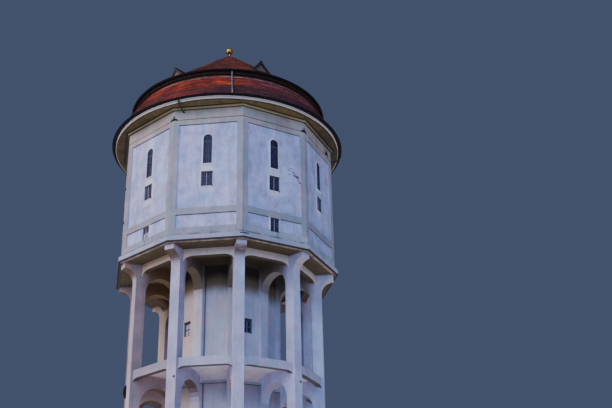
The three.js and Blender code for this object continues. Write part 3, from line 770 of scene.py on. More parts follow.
def tank_floor_material():
    material, shader, place = new_material("tank_floor_concrete")
    sides = placed(side_coordinates, Place=place)
    height, outward, eastward = sides["Height"], sides["Outward"], sides["Eastward"]
    edge = limewash(place, BASE_CLEAN, BASE_DULL, 0.8, 0.45, 0.45)
    beam = limewash(place, BEAM_CLEAN, BEAM_DULL, 0.7, 0.3, 0.3)
    bare = limewash(place, BARE_CLEAN, BARE_DULL, 0.8, 0.2, 0.5, SOOT_AND_SHADE)
    on_beam = fading(outward, 5.2, 5.4)
    # painted light: the slab edge is lighter on the eastern sides
    edge_colour = mixed(between(eastward, 0.0, 0.05), edge["Color"], EAST_EDGE_LIGHT, "MULTIPLY")
    upright = layered(
        beam["Color"],
        (between(outward, 5.2, 5.4), edge_colour),
        # painted shade at the top of the beam, under the slab
        (between(height, 20.52, 20.86) * on_beam * 0.5, BEAM_TOP_SHADE),
        # painted warm light on the western beams
        (fading(eastward, -0.613, -0.565) * on_beam, WEST_BEAM_LIGHT, "MULTIPLY"),
        # painted shade: upright faces near the shaft go nearly black
        (between(outward, 4.6, 3.9), (0.028, 0.022, 0.017)),
    )
    from_edge = SLAB_EDGE - outward
    board = number("FRACT", from_edge / SOFFIT_BOARD_WIDTH)
    worn = noise(place, 2.3, 4.0, 0.6)
    board_line = band(board, 0.25, 0.60, 0.08) * between(from_edge, 0.55, 0.75, 0.6, 0.15)
    drip_board = mixed(between(worn, 0.35, 0.6), (0.36, 0.32, 0.29), (0.17, 0.14, 0.115))
    drip_board = mixed(between(abs(sides["Azimuth"]), 1.2, 1.3), drip_board, (0.05, 0.04, 0.025))
    inmost_shade = mixed(fading(eastward, -0.68, -0.48), (0.030, 0.023, 0.009), (0.10, 0.078, 0.028))
    under = layered(
        bare["Color"],
        # painted shade: the underside darkens towards the shaft
        (between(outward, 4.9, 3.2) * 0.75, inmost_shade),
        (board_line, mixed(between(worn, 0.35, 0.65), (0.14, 0.11, 0.075), (0.055, 0.042, 0.024))),
        (band(from_edge, DRIP_EDGE, DRIP_BOARD, 0.015), drip_board),
        (fading(from_edge, DRIP_EDGE - 0.015, DRIP_EDGE), (0.006, 0.005, 0.006)),
    )
    downward = fading(surface_normal(place)[2], -0.85, -0.5)
    drip = fading(height, TANK_UNDERSIDE + 0.060, TANK_UNDERSIDE + 0.075)
    colour = layered(
        upright,
        (downward * between(height, 20.80, 20.86), under),
        # painted shade on the beam undersides below the slab
        (downward * fading(height, 20.80, 20.86), (0.07, 0.052, 0.036)),
        (drip * between(outward, SLAB_EDGE - 0.035, SLAB_EDGE - 0.02) * 0.95, SOOT_AND_SHADE),
    )
    plastered(shader, edge, colour)
    return material


finish_with(tank_floor_material(), "tank_floor")


def corner_strap():
    """A thin iron strap bent round the front corner of the slab."""
    shape = bmesh.new()
    corner = SLAB_EDGE * math.tan(SIDE_ANGLE / 2)
    half_turn = SIDE_ANGLE / 2
    for turn, left, right in ((half_turn, -corner, -corner + 0.34), (-half_turn, corner - 0.13, corner)):
        strap = board_into(shape, left, right, SLAB_EDGE - 0.01, SLAB_EDGE + 0.014, STRAP_FOOT, STRAP_TOP)
        bmesh.ops.rotate(shape, cent=(0, 0, 0), matrix=Matrix.Rotation(turn, 3, "Z"), verts=strap)
    return finished_mesh("corner_strap", shape)


round_the_tower("corner_strap", corner_strap(), dark_iron, 1, 0.0)

# Tank house walls
# Brick panels plastered and limewashed, between corner strips and bands in a greyer, coarser coat.
# Grime and painted shade make a dark line under each ledge, and a long patch has spalled off one panel.
WALL_CLEAN = (0.60, 0.625, 0.95)
WALL_DULL = (0.47, 0.49, 0.79)
WALL_FRESH = (0.84, 0.83, 0.94)
STRIP_CLEAN = (0.45, 0.44, 0.52)
STRIP_DULL = (0.335, 0.335, 0.40)
WEST_STRIP_LIGHT = (1.03, 0.89, 0.87)
FOOT_CLEAN = (0.425, 0.435, 0.52)
FOOT_DULL = (0.32, 0.33, 0.40)
EAST_FOOT_LIGHT = (1.32, 1.36, 1.34)
FRIEZE_CLEAN = (0.55, 0.49, 0.48)
FRIEZE_DULL = (0.39, 0.345, 0.33)
CHEEK_SHADE = (0.62, 0.55, 0.52)
LEDGE_GRIME_AND_SHADE = (0.075, 0.055, 0.045)
BARE_BRICK = (0.03, 0.026, 0.03)
STRIP_FACE = 5.792
PANEL_FACE = 5.732
PANEL_HALF = 1.575
LOW_PANEL_TOP = 22.41
MAIN_PANEL_TOP = 27.72
FRIEZE_LINE = 28.015
SPALLED = [
    ((0.90, 25.46), (0.94, 25.45), 0.030), ((1.00, 25.41), (1.03, 25.39), 0.022),
    ((1.05, 25.57), (1.08, 25.56), 0.022), ((1.18, 25.37), (1.21, 25.35), 0.032),
    ((0.90, 25.18), (0.93, 25.17), 0.030), ((1.28, 25.29), (1.30, 25.28), 0.026),
    ((1.18, 25.18), (1.50, 25.13), 0.034), ((1.35, 25.15), (1.46, 24.98), 0.036),
    ((1.47, 24.94), (1.57, 24.77), 0.024),
]


def dark_line(height, level, thickness=0.055):
    """A dark line of grime and painted shade just under a ledge, strongest at the ledge."""
    below = level - height
    return number("GREATER_THAN", below, -0.004) * fading(below, thickness * 0.6, thickness)


def distance_to_stretch(across, height, start, end):
    """How far a place on the wall is from a straight stretch between two points."""
    run, climb = end[0] - start[0], end[1] - start[1]
    sideways, upwards = across - start[0], height - start[1]
    along = (sideways * run + upwards * climb) / (run * run + climb * climb)
    share = number("MINIMUM", number("MAXIMUM", along, 0.0), 1.0)
    off, over = sideways - share * run, upwards - share * climb
    return number("SQRT", off * off + over * over)


def wall_plaster_material():
    material, shader, place = new_material("wall_plaster")
    sides = placed(side_coordinates, Place=place)
    across, height, outward, eastward = [sides[name] for name in ("Across", "Height", "Outward", "Eastward")]
    panel = limewash(place, WALL_CLEAN, WALL_DULL, 0.75, 0.15, 1.0)
    strip = limewash(place, STRIP_CLEAN, STRIP_DULL, 0.75, 0.25, 0.4)["Color"]
    foot = limewash(place, FOOT_CLEAN, FOOT_DULL, 0.8, 0.4, 0.45)["Color"]
    frieze = limewash(place, FRIEZE_CLEAN, FRIEZE_DULL, 0.75, 0.25, 0.4)["Color"]
    on_strip = between(outward, PANEL_FACE + 0.005, STRIP_FACE - 0.005)
    # painted light: the western strips are warmer, and the foot band is lighter on the eastern sides
    strip = mixed(fading(eastward, -0.90, -0.82), strip, WEST_STRIP_LIGHT, "MULTIPLY")
    foot = mixed(between(eastward, 0.0, 0.05), foot, EAST_FOOT_LIGHT, "MULTIPLY")
    ragged = noise(place, 1.6, 5.0, 0.6)
    mended = fading(ragged * 0.5 + abs(across), 0.50, 0.72) * band(height, 23.68, 25.30, 0.16)
    margin = abs(abs(across) - PANEL_HALF)
    # painted shade tone, a warm grey, on the recessed cheeks beside each panel
    cheek_shading = fading(margin, 0.002, 0.012, 0.8) * band(outward, PANEL_FACE + 0.003, STRIP_FACE - 0.003, 0.002)
    ledges = number("MAXIMUM", dark_line(height, LOW_PANEL_TOP), dark_line(height, MAIN_PANEL_TOP))
    frieze_line = band(height, FRIEZE_LINE - 0.02, FRIEZE_LINE + 0.02, 0.008)
    lines = number("MAXIMUM", ledges * (1.0 - on_strip), frieze_line)
    spread = None
    for start, end, size in SPALLED:
        reach = distance_to_stretch(across, height, start, end) - size
        spread = number("MINIMUM", spread, reach) if spread else reach
    spread = (noise(place, 12.0, 4.0, 0.7) - 0.5) * 0.12 + spread
    loss = fading(spread, -0.008, 0.008) * band(sides["Azimuth"], 0.0, SIDE_ANGLE, 0.001)
    dribble = between(streaks(place, 9.0, 0.4, 4.0, 0.6), 0.5, 0.68) * band(across, -0.22, 0.22, 0.08)
    colour = layered(
        panel["Color"],
        (on_strip, mixed(between(height, 27.70, 27.76), strip, frieze)),
        (fading(height, 21.64, 21.68), foot),
        (band(height, 21.24, 21.34, 0.02) * between(ragged, 0.46, 0.54) * 0.6, GRIME),
        (mended * between(ragged, 0.36, 0.55, 0.2, 0.85), WALL_FRESH),
        (cheek_shading, CHEEK_SHADE),
        # grime and painted shade under the ledges and along the frieze groove
        (lines * 0.85, LEDGE_GRIME_AND_SHADE),
        (loss * 0.9, BARE_BRICK),
        (dribble * band(height, 21.05, 21.58, 0.08) * 0.7, GRIME),
    )
    surfaced(shader, colour, panel["Roughness"], panel["Height"] - loss * 1.5, 0.014, 0.7)
    return material


finish_with(wall_plaster_material(), *[f"tank_wall_{side + 1}" for side in range(SIDES)])

# Anchor plates
# Forged plates on the ends of the tie rods that hold the walls together, on every second corner.
# Each is an upright leaf with two drooping arms under a round nut, and one more sits beside a corner.
# Two small clips on the edge of one corner strip are left from an old cable.
ANCHOR_HEIGHT = 28.10
CORNER_FACE = 6.062
CLIP_HEIGHTS = (23.22, 25.25)
CLIP_HALF = 0.07


def anchor_leaf(outward, across, height):
    shape = bmesh.new()
    middle = Matrix.Translation((across, -outward, height))
    for sideways, upwards, lean, reach, width in (
        (0.0, 0.10, 90, 0.12, 0.065), (0.0, -0.02, 90, 0.10, 0.095), (0.10, -0.01, 165, 0.10, 0.038),
        (-0.10, -0.01, 15, 0.10, 0.038), (0.155, -0.07, 100, 0.06, 0.022), (-0.155, -0.07, 80, 0.06, 0.022),
    ):
        where = Matrix.Translation((sideways, 0, upwards)) @ Matrix.Rotation(-math.radians(lean), 4, "Y")
        cone_into(shape, middle @ where @ Matrix.Diagonal((reach, 0.05, width, 1)), 20, 1.0, 0.8, 1.0)
    cone_into(shape, middle @ Matrix.Translation((0, -0.04, -0.03)), 20, 0.06, 0.045, 0.06)
    return finished_mesh("anchor_leaf", shape)


corner_clips = boards(
    "corner_clips",
    *[(-0.07, -0.02, 6.03, 6.12, height - CLIP_HALF, height + CLIP_HALF) for height in CLIP_HEIGHTS],
)
corner_anchor = anchor_leaf(CORNER_FACE, 0.0, ANCHOR_HEIGHT)
side_anchor = anchor_leaf(STRIP_FACE, 1.22, ANCHOR_HEIGHT + 0.1)
anchor_iron = weathered_metal_material("anchor_iron", (0.022, 0.018, 0.02), (0.10, 0.06, 0.05))
round_the_tower("anchor_plates", corner_anchor, anchor_iron, 5, 1.0, 2.0)
round_the_tower("side_anchor_plate", side_anchor, anchor_iron, 1, 1.5)
round_the_tower("corner_clips", corner_clips, anchor_iron, 1, 8.0)

# Tank house windows
# Every side has an arched window over a square one, and every second side a low one near the floor.
# They have splayed plaster margins, dark boards painted as the shade in their heads, a pale upright in the
# middle and fine cross bars.
ARCH_HALF = 0.24
ARCH_SILL = 25.28
ARCH_SPRINGING = 26.81
ARCH_PARTS = 14
TRANSOMS = (25.72, 26.16)
CROSS_BAR = 26.60
SQUARE = (0.315, 23.96, 24.83)
LOW = (0.265, 21.59, 22.40)
GLASS_FACE = 5.722
MARGIN_FACE = 5.778
MARGIN_DEPTHS = (PANEL_FACE - 0.02, PANEL_FACE + 0.004, MARGIN_FACE)
REVEAL = 0.045
HEAD_SHADE = 0.085


def arch_loop(half, sill):
    """An arched outline, from its lower left corner round to its lower right one."""
    turns = [math.pi * (1 - part / ARCH_PARTS) for part in range(ARCH_PARTS + 1)]
    arch = [(half * math.cos(turn), ARCH_SPRINGING + half * math.sin(turn)) for turn in turns]
    return [(-half, sill), *arch, (half, sill)]


def box_loop(half, low, high):
    return [(-half, low), (-half, high), (half, high), (half, low)]


def framed(name, outer, inner, depths, *reaches):
    """A frame between two outlines, whose front leans from one depth to another, with boards beside it."""
    back, outer_front, inner_front = depths
    edges = ((outer, outer_front), (inner, inner_front), (inner, back), (outer, back))
    shape = bmesh.new()
    skin(shape, [[(across, -outward, up) for across, up in loop] for loop, outward in edges], ring=True)
    return boards(name, *reaches, shape=shape)


def arched_margin():
    outer = arch_loop(ARCH_HALF + 0.085, ARCH_SILL - 0.07)
    inner = arch_loop(ARCH_HALF - 0.004, ARCH_SILL + 0.004)
    half = ARCH_HALF + 0.07
    sill = (-half, half, PANEL_FACE - 0.02, MARGIN_FACE + 0.012, ARCH_SILL - 0.05, ARCH_SILL)
    return framed("arched_margin", outer, inner, MARGIN_DEPTHS, sill)


def arched_sash():
    """The casement's own frame and its bars."""
    half, back, front = ARCH_HALF - 0.002, GLASS_FACE - 0.02, GLASS_FACE + 0.02
    transoms = [(-half + 0.01, half - 0.01, back, front - 0.008, level, level + 0.010) for level in TRANSOMS]
    uprights = [
        (across - 0.006, across + 0.006, back, front - 0.004, ARCH_SILL + 0.01, ARCH_SPRINGING + 0.12)
        for across in (-0.155, 0.155)
    ]
    return framed("arched_sash", arch_loop(half, ARCH_SILL), arch_loop(half - 0.024, ARCH_SILL + 0.05),
                  (back, front, front), *transoms, *uprights)


def arched_bars():
    """The paler cross bar and the two fine uprights that show against the glass."""
    half, front = ARCH_HALF - 0.02, GLASS_FACE + 0.016
    uprights = [
        (across - 0.007, across + 0.007, GLASS_FACE, front - 0.003, ARCH_SILL + 0.05, ARCH_SPRINGING + 0.2)
        for across in (-0.06, 0.06)
    ]
    return boards("arched_bars", (-half, half, GLASS_FACE, front, CROSS_BAR, CROSS_BAR + 0.028), *uprights)


def square_margin(half, sill, head):
    return framed("square_margin", box_loop(half + 0.08, sill - 0.08, head + 0.07),
                  box_loop(half - 0.003, sill + 0.003, head - 0.003), MARGIN_DEPTHS)


def square_reveal(half, sill, head):
    """The sloping cheeks between the margin and the casement, in a darker plaster painted as their half
    shade.
    """
    inner = box_loop(half - REVEAL, sill + REVEAL / 2, head - 0.01)
    depths = (GLASS_FACE - 0.02, PANEL_FACE + 0.02, GLASS_FACE + 0.008)
    return framed("square_reveal", box_loop(half, sill, head), inner, depths)


def dark_head(half, sill, head):
    """A dark board painted as the shade in the head of the opening, a thin frame round the casement and the
    end of its sill.
    """
    glass, shade_foot = half - REVEAL, head - HEAD_SHADE
    outer = box_loop(glass + 0.004, sill + 0.01, head - 0.02)
    inner = box_loop(glass - 0.02, sill + 0.05, shade_foot - 0.02)
    return framed(
        "dark_head", outer, inner, (GLASS_FACE - 0.02, GLASS_FACE + 0.016, GLASS_FACE + 0.014),
        (-half + 0.004, half - 0.004, GLASS_FACE - 0.01, PANEL_FACE + 0.03, shade_foot, head),
        (half - 0.05, half + 0.01, PANEL_FACE - 0.01, MARGIN_FACE + 0.006, sill - 0.03, sill + 0.05),
    )


def casement_bars(half, sill, head):
    return grown_mesh(
        "casement_bars", lattice, Width=2 * (half - REVEAL) - 0.03, Height=head - sill - HEAD_SHADE - 0.06,
        Columns=4, Rows=4, Bar=0.013, Depth=0.012, Sill=sill + 0.045, Face=GLASS_FACE + 0.01,
        Finish=stile_paint,
    )


def pale_upright(half, sill, head):
    foot, top = sill + 0.05, head - HEAD_SHADE
    return boards("pale_upright", (-0.035, -0.005, GLASS_FACE, GLASS_FACE + 0.02, foot, top))


def margin_plaster_material(name, clean, dull):
    material, shader, place = new_material(name)
    plaster = limewash(place, clean, dull, 0.6, 0.2, 0.3)
    plastered(shader, plaster, plaster["Color"])
    return material


margin_plaster = margin_plaster_material("margin_plaster", WALL_FRESH, WALL_CLEAN)
# darker plaster painted as the half shade in the window reveals
reveal_plaster = margin_plaster_material("reveal_plaster", (0.30, 0.31, 0.42), (0.20, 0.20, 0.28))
sash_paint = painted_wood_material("sash_paint", (0.030, 0.028, 0.07), (0.06, 0.055, 0.11))
finish_with(window_glass, "tank_windows_upper", "tank_windows_low")
round_the_tower("arched_window_margins", arched_margin(), margin_plaster)
round_the_tower("arched_window_sashes", arched_sash(), sash_paint)
round_the_tower("arched_window_bars", arched_bars(), stile_paint)
for opening, window, count, step in (("square", SQUARE, SIDES, 1.0), ("low", LOW, SIDES // 2, 2.0)):
    for part, made, slot_name, finish in (
        ("margins", square_margin, "wall_plaster", margin_plaster),
        ("reveals", square_reveal, "wall_plaster", reveal_plaster),
        ("heads", dark_head, "dark_boards", frame_and_shade_paint),
        ("bars", casement_bars, "eaves_boards", stile_paint),
        ("uprights", pale_upright, "eaves_boards", pale_bar),
    ):
        round_the_tower(f"{opening}_window_{part}", made(*window), finish, count, 0.5, step)

# Moulding and eaves
# A plastered moulding in olive-yellow closes the walls, and over it the eaves run round in a true circle.
# Their soffit is of olive-brown boards laid outwards, behind a fascia board painted a light grey.
RING_STEPS = 160
SOFFIT = 28.71
MOULDING_FOOT = 28.59
MOULDING_FACE = 5.897
EAVES_INNER = 5.45
FASCIA_BACK = 6.45
FASCIA_FACE = 6.525
FASCIA_FOOT = 28.785
EAVES_TOP = 28.945
SOFFIT_BOARD = math.radians(1.25)
MOULDING_OLIVE = (0.68, 0.57, 0.30)
MOULDING_DULL = (0.50, 0.42, 0.22)
MOULDING_SHADE = (0.045, 0.034, 0.018)
EAST_MOULDING_SHADE = (0.62, 0.62, 0.75)
EAST_SOFFIT_SHADING = (0.42, 0.47, 0.62)
WEST_SOFFIT_SHADING = (0.54, 0.48, 0.29)


def turned_mesh(name, profile, steps=RING_STEPS, closed=True):
    """A profile of radius and height, turned about the tower's axis."""
    shape = bmesh.new()
    turns = [2 * math.pi * step / steps for step in range(steps)]
    skin(shape, [
        [(radius * math.sin(turn), -radius * math.cos(turn), height) for radius, height in profile]
        for turn in turns
    ], around=closed, ring=True)
    bmesh.ops.remove_doubles(shape, verts=shape.verts, dist=0.00001)
    mesh = finished_mesh(name, shape)
    mesh.shade_smooth()
    mesh.set_sharp_from_angle(angle=math.radians(32))
    return mesh


def standing_in(name, mesh, finish, node):
    """A finer piece that takes the place of one node."""
    mesh.materials.append(finish)
    piece = piece_of(name, mesh)
    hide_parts(node)
    return piece


def moulding_material():
    material, shader, place = new_material("moulding")
    sides = placed(side_coordinates, Place=place)
    plaster = limewash(place, MOULDING_OLIVE, MOULDING_DULL, 0.8, 0.3, 0.4)
    colour = layered(
        plaster["Color"],
        (fading(surface_normal(place)[2], -0.8, -0.5, 0.9), MOULDING_SHADE),
        (fading(sides["Height"], MOULDING_FOOT + 0.008, MOULDING_FOOT + 0.018, 0.8), MOULDING_SHADE),
        # painted shade: darker and bluer on the eastern sides
        (between(sides["Eastward"], 0.55, 0.85), EAST_MOULDING_SHADE, "MULTIPLY"),
    )
    plastered(shader, plaster, colour)
    return material


def eaves_material():
    material, shader, place = new_material("eaves_boards")
    sides = placed(side_coordinates, Place=place)
    eastward = sides["Eastward"]
    laid = sides["Azimuth"] / SOFFIT_BOARD
    joint_and_shadow = between(abs(number("FRACT", laid) - 0.5), 0.455, 0.485)
    own_tone = place.tree.nodes.new("ShaderNodeTexWhiteNoise")
    own_tone.noise_dimensions = "1D"
    feed(own_tone, W=number("FLOOR", laid))
    patches = noise(place, 0.8, 5.0, 0.6)
    soffit = mixed(between(patches, 0.35, 0.65), (0.118, 0.088, 0.030), (0.066, 0.049, 0.018))
    soffit = layered(
        shaded(soffit, between(Wire(own_tone.outputs["Value"]), 0.0, 1.0, 0.85, 1.12)),
        (joint_and_shadow * 0.6, SOOT_AND_SHADE),
        # painted shadow along the soffit's inner end, by the moulding
        (fading(sides["Outward"], MOULDING_FACE + 0.10, MOULDING_FACE + 0.15, 0.95), (0.006, 0.004, 0.002)),
        # painted light and shade: bluer and darker on the east, warmer and darker on the west
        (between(eastward, 0.55, 0.85), EAST_SOFFIT_SHADING, "MULTIPLY"),
        (fading(eastward, -0.85, -0.60), WEST_SOFFIT_SHADING, "MULTIPLY"),
    )
    fascia = mixed(between(patches, 0.4, 0.7, 0.0, 0.6), (0.90, 0.84, 0.84), (0.70, 0.65, 0.65))
    grain = streaks(place, 3.0, 22.0, 4.0, 0.6)
    fascia = shaded(fascia, between(grain, 0.3, 0.7, 0.93, 1.05))
    colour = mixed(between(sides["Radius"], FASCIA_FACE - 0.022, FASCIA_FACE - 0.010), soffit, fascia)
    surfaced(shader, colour, between(patches, 0.3, 0.7, 0.55, 0.8), grain - joint_and_shadow * 2.0, 0.006, 0.5)
    return material


finish_with(moulding_material(), "tank_cornice")
eaves_profile = [
    (EAVES_INNER, SOFFIT), (FASCIA_BACK, SOFFIT), (FASCIA_BACK, FASCIA_FOOT),
    (FASCIA_FACE, FASCIA_FOOT), (FASCIA_FACE, EAVES_TOP), (EAVES_INNER, EAVES_TOP),
]
standing_in("eaves_ring", turned_mesh("eaves_ring", eaves_profile), eaves_material(), "eaves")

# Gutters and outlets
# Half-round gutters of blackened zinc with a rolled front edge, hung in flat iron brackets on both eaves.
# Swan-neck outlets take the lower one back into the walls, and have weathered to a grey-green.
GUTTER_TRIM = 0.006
GUTTER_SHEET = 0.005
EDGE_ROLL = 0.012
STRAP_HALF = 0.017
LOWER_GUTTER = {"back": 6.5253, "width": 0.225, "top": 28.995, "depth": 0.110, "back_top": 28.93}
UPPER_GUTTER = {"back": 5.5603, "width": 0.19, "top": 31.20, "depth": 0.13, "back_top": 31.10}
CURVE_PARTS = 12


def gutter_curve(gutter, inset):
    """The half-round section as points of radius and height, from its back edge to its front one."""
    middle = gutter["back"] + gutter["width"] / 2
    across = gutter["width"] / 2 - inset
    top = gutter["top"] - EDGE_ROLL
    deep = gutter["depth"] - EDGE_ROLL - inset
    start = math.pi + math.asin((top - gutter["back_top"]) / deep)
    turns = [start + (2 * math.pi - start) * part / CURVE_PARTS for part in range(CURVE_PARTS + 1)]
    return [(middle + across * math.cos(turn), top + deep * math.sin(turn)) for turn in turns]


def gutter_ring(name, gutter):
    outer = gutter_curve(gutter, GUTTER_TRIM)
    inner = gutter_curve(gutter, GUTTER_TRIM + GUTTER_SHEET)
    return turned_mesh(name, outer + inner[::-1])


def rolled_edge(name, gutter):
    radius = gutter["back"] + gutter["width"] - EDGE_ROLL - 0.0005
    top = gutter["top"] - EDGE_ROLL
    turns = [2 * math.pi * part / 8 for part in range(8)]
    ring = [(radius + EDGE_ROLL * math.cos(turn), top + EDGE_ROLL * math.sin(turn)) for turn in turns]
    return turned_mesh(name, ring)


def gutter_bracket(gutter):
    """A flat iron strap bent round the outside of a gutter."""
    shape = bmesh.new()
    outer = gutter_curve(gutter, 0.0005)
    inner = gutter_curve(gutter, GUTTER_TRIM - 0.0005)
    skin(shape, [
        [(side, -radius, height) for side, (radius, height) in
         ((-STRAP_HALF, out), (STRAP_HALF, out), (STRAP_HALF, into), (-STRAP_HALF, into))]
        for out, into in zip(outer, inner)
    ])
    return finished_mesh("gutter_bracket", shape)


black_zinc = weathered_metal_material("black_zinc", (0.006, 0.0055, 0.008), (0.016, 0.014, 0.015))
green_zinc = weathered_metal_material("green_zinc", (0.034, 0.044, 0.040), (0.11, 0.11, 0.10))
for name, gutter, count in (("lower_gutter", LOWER_GUTTER, 60), ("upper_gutter", UPPER_GUTTER, 50)):
    standing_in(f"{name}_trough", gutter_ring(f"{name}_trough", gutter), black_zinc, name)
    edge = rolled_edge(f"{name}_edge", gutter)
    edge.materials.append(black_zinc)
    piece_of(f"{name}_edge", edge)
    bracket = gutter_bracket(gutter)
    round_the_tower(f"{name}_brackets", bracket, dark_iron, count, 0.25, SIDES / count)
finish_with(green_zinc, "gutter_outlet_1", "gutter_outlet_2", "gutter_outlet_3")

# Steep ring of red tiles
# Flat clay tiles with rounded tails, hung in overlapping courses on battens, each row set half a tile over.
# They keep their orange-red, with burnt, mossy and newer tiles, and one course bedded in pale mortar.
TILE_WIDTH = 0.175
TILE_LENGTH = 0.30
TILE_THICK = 0.018
TILE_GAUGE = 0.15
TAIL_STEPS = 4
TAIL_RISE = 0.035
TILE_LAP = math.radians(5.0)
LOWER_FOOT = (6.64, 29.03)
LOWER_HEAD = (5.47, 30.93)
MORTAR_FOOT = 0.86
MORTAR_TOP = 0.90


def tile_mesh():
    """One tile, its tail at the origin and its head up the slope. Points keep their share of its length."""
    half = TILE_WIDTH / 2 - 0.003
    tail = [-half + 2 * half * step / TAIL_STEPS for step in range(TAIL_STEPS + 1)]
    outline = [(half, TILE_LENGTH), (-half, TILE_LENGTH)]
    outline += [(across, TAIL_RISE * (across / half) ** 2) for across in tail]
    count = len(outline)
    points = [(x, y, z) for z in (0.0, TILE_THICK) for x, y in outline]
    faces = [list(range(count)), list(range(count, 2 * count))[::-1]]
    for index in range(count):
        following = (index + 1) % count
        faces.append([index, index + count, following + count, following])
    mesh = bpy.data.meshes.new("tile")
    mesh.from_pydata(points, [], faces)
    along = mesh.attributes.new("tile_along", "FLOAT", "POINT")
    along.data.foreach_set("value", [y / TILE_LENGTH for x, y, z in points])
    return mesh


def kept_number(geometry, name, value):
    """Keeps a number for each instance under a name that a material can read."""
    node = geometry.tree.nodes.new("GeometryNodeStoreNamedAttribute")
    node.data_type = "FLOAT"
    node.domain = "INSTANCE"
    feed(node, Geometry=geometry, Name=name)
    plug([socket for socket in node.inputs if socket.name == "Value" and socket.enabled][0], value)
    return Wire(node.outputs[0])


def random_between(low, high, seed, identity):
    node = seed.tree.nodes.new("FunctionNodeRandomValue")
    node.data_type = "FLOAT"
    for socket in node.inputs:
        if socket.type == "VALUE" and socket.name in ("Min", "Max"):
            socket.default_value = low if socket.name == "Min" else high
    feed(node, Seed=seed, ID=identity)
    return Wire([socket for socket in node.outputs if socket.type == "VALUE" and socket.enabled][0])


def tile_courses_tree():
    """Courses of tiles from a foot ring to a head ring, with a tone kept on each tile."""
    tree, given, output = geometry_tree(
        "Tile courses", Tile="Object", Courses="Int", Tile_Width="Float", Foot_Radius="Float",
        Foot_Height="Float", Head_Radius="Float", Head_Height="Float", Tilt="Float", Seed="Int",
    )
    start = tree.nodes.new("GeometryNodeRepeatInput")
    end = tree.nodes.new("GeometryNodeRepeatOutput")
    start.pair_with_output(end)
    end.repeat_items.new("INT", "Course")
    feed(start, Iterations=given["Courses"])
    course = Wire(start.outputs["Course"])
    share = course / given["Courses"]
    radius = (given["Head Radius"] - given["Foot Radius"]) * share + given["Foot Radius"]
    height = (given["Head Height"] - given["Foot Height"]) * share + given["Foot Height"]
    around = radius * (2 * math.pi)
    width = given["Tile Width"]
    count = number("MAXIMUM", number("ROUND", around / width), 5.0)
    index = fed(tree, "GeometryNodeInputIndex")
    azimuth = (index + course % 2.0 * 0.5) / count * (2 * math.pi)
    place = combined(radius * number("SINE", azimuth), radius * number("COSINE", azimuth) * -1.0, height)
    seed = course * 17.0 + given["Seed"]
    lean = random_between(-0.022, 0.022, seed + 3000.0, index)
    twist = random_between(-0.014, 0.014, seed + 6000.0, index)
    tiles = copied(count, place, combined(given["Tilt"] + lean, 0.0, azimuth + twist), given["Tile"],
                   Scale=combined(around / count / width, 1.0, 1.0))
    tone = random_between(0.0, 1.0, seed + 9000.0, index)
    toned = kept_number(kept_number(tiles, "tile_tone", tone), "course_share", share)
    joined = tree.nodes.new("GeometryNodeJoinGeometry")
    for laid in (Wire(start.outputs["Geometry"]), toned):
        feed(joined, Geometry=laid)
    feed(end, Geometry=Wire(joined.outputs[0]), Course=course + 1.0)
    realized(Wire(end.outputs["Geometry"]), given["Finish"], output)
    return tree


def own_number(place, name):
    node = place.tree.nodes.new("ShaderNodeAttribute")
    node.attribute_name = name
    return Wire(node.outputs["Fac"])


def tile_material(name, fresh, burnt, moss, moss_amount, bright=None):
    """Fired clay, toned tile by tile and row by row, with burnt patches, moss, and dirt and painted shade
    under each lap.
    """
    material, shader, place = new_material(name)
    tone = own_number(place, "tile_tone")
    along = own_number(place, "tile_along")
    rows = streaks(place, 0.5, 7.5, 3.0, 0.6)
    growth = noise(place, 1.7, 6.0, 0.65)
    wear = tone * 0.2 + (rows * 1.2 + noise(place, 0.42, 4.0, 0.6))
    colour = mixed(between(wear, 1.05, 1.35), fresh, burnt)
    if bright:
        colour = mixed(fading(wear, 0.92, 1.14) * 0.85, colour, bright)
    colour = layered(
        colour,
        (between(growth, 0.5, 0.68) * moss_amount, moss),
        (number("GREATER_THAN", tone, 0.985) * 0.45, (0.42, 0.22, 0.17)),
    )
    colour = shaded(colour, between(noise(place, 0.9, 5.0, 0.7), 0.40, 0.60, 0.62, 1.25))
    if bright:
        share = own_number(place, "course_share")
        eastward = placed(side_coordinates, Place=place)["Eastward"]
        shadowed = fading(growth * 0.5 + share, 0.55, 0.72) * between(eastward, -0.52, -0.15, 0.45, 0.75)
        glint = between(rows, 0.54, 0.64) * between(eastward, 0.0, 0.3, 0.0, 0.45)
        colour = layered(
            colour,
            # painted shade: a purplish cast over the eastern half of the ring
            (between(eastward, -0.2, 0.25, 0.0, 0.62), (0.19, 0.040, 0.070)),
            (glint, (0.75, 0.24, 0.20)),
            (fading(eastward, -0.95, -0.81, 0.6), (0.16, 0.055, 0.035)),
            (shadowed, (0.040, 0.018, 0.028)),
            (between(share, MORTAR_TOP, MORTAR_TOP + 0.02) * 0.75, (0.085, 0.040, 0.025)),
            (band(share, MORTAR_FOOT, MORTAR_TOP, 0.004) * 0.5, (0.55, 0.33, 0.30)),
        )
    grain = noise(place, 30.0, 4.0, 0.7)
    # dirt and painted shade where each tile runs under the course above
    lap = between(along, 0.33, 0.5, 1.0, 0.3) * between(along, 0.0, 0.07, 0.6, 1.0)
    shade = between(grain, 0.3, 0.7, 0.8, 1.12) * lap * between(tone, 0.0, 1.0, 0.60, 1.25)
    shade = shade * between(streaks(place, 0.9, 13.0, 3.0, 0.6), 0.40, 0.60, 0.68, 1.30)
    surfaced(shader, shaded(colour, shade), between(grain, 0.3, 0.7, 0.65, 0.9), grain, 0.004, 0.6)
    return material


def slope_of(foot, head):
    return math.atan2(head[1] - foot[1], foot[0] - head[0])


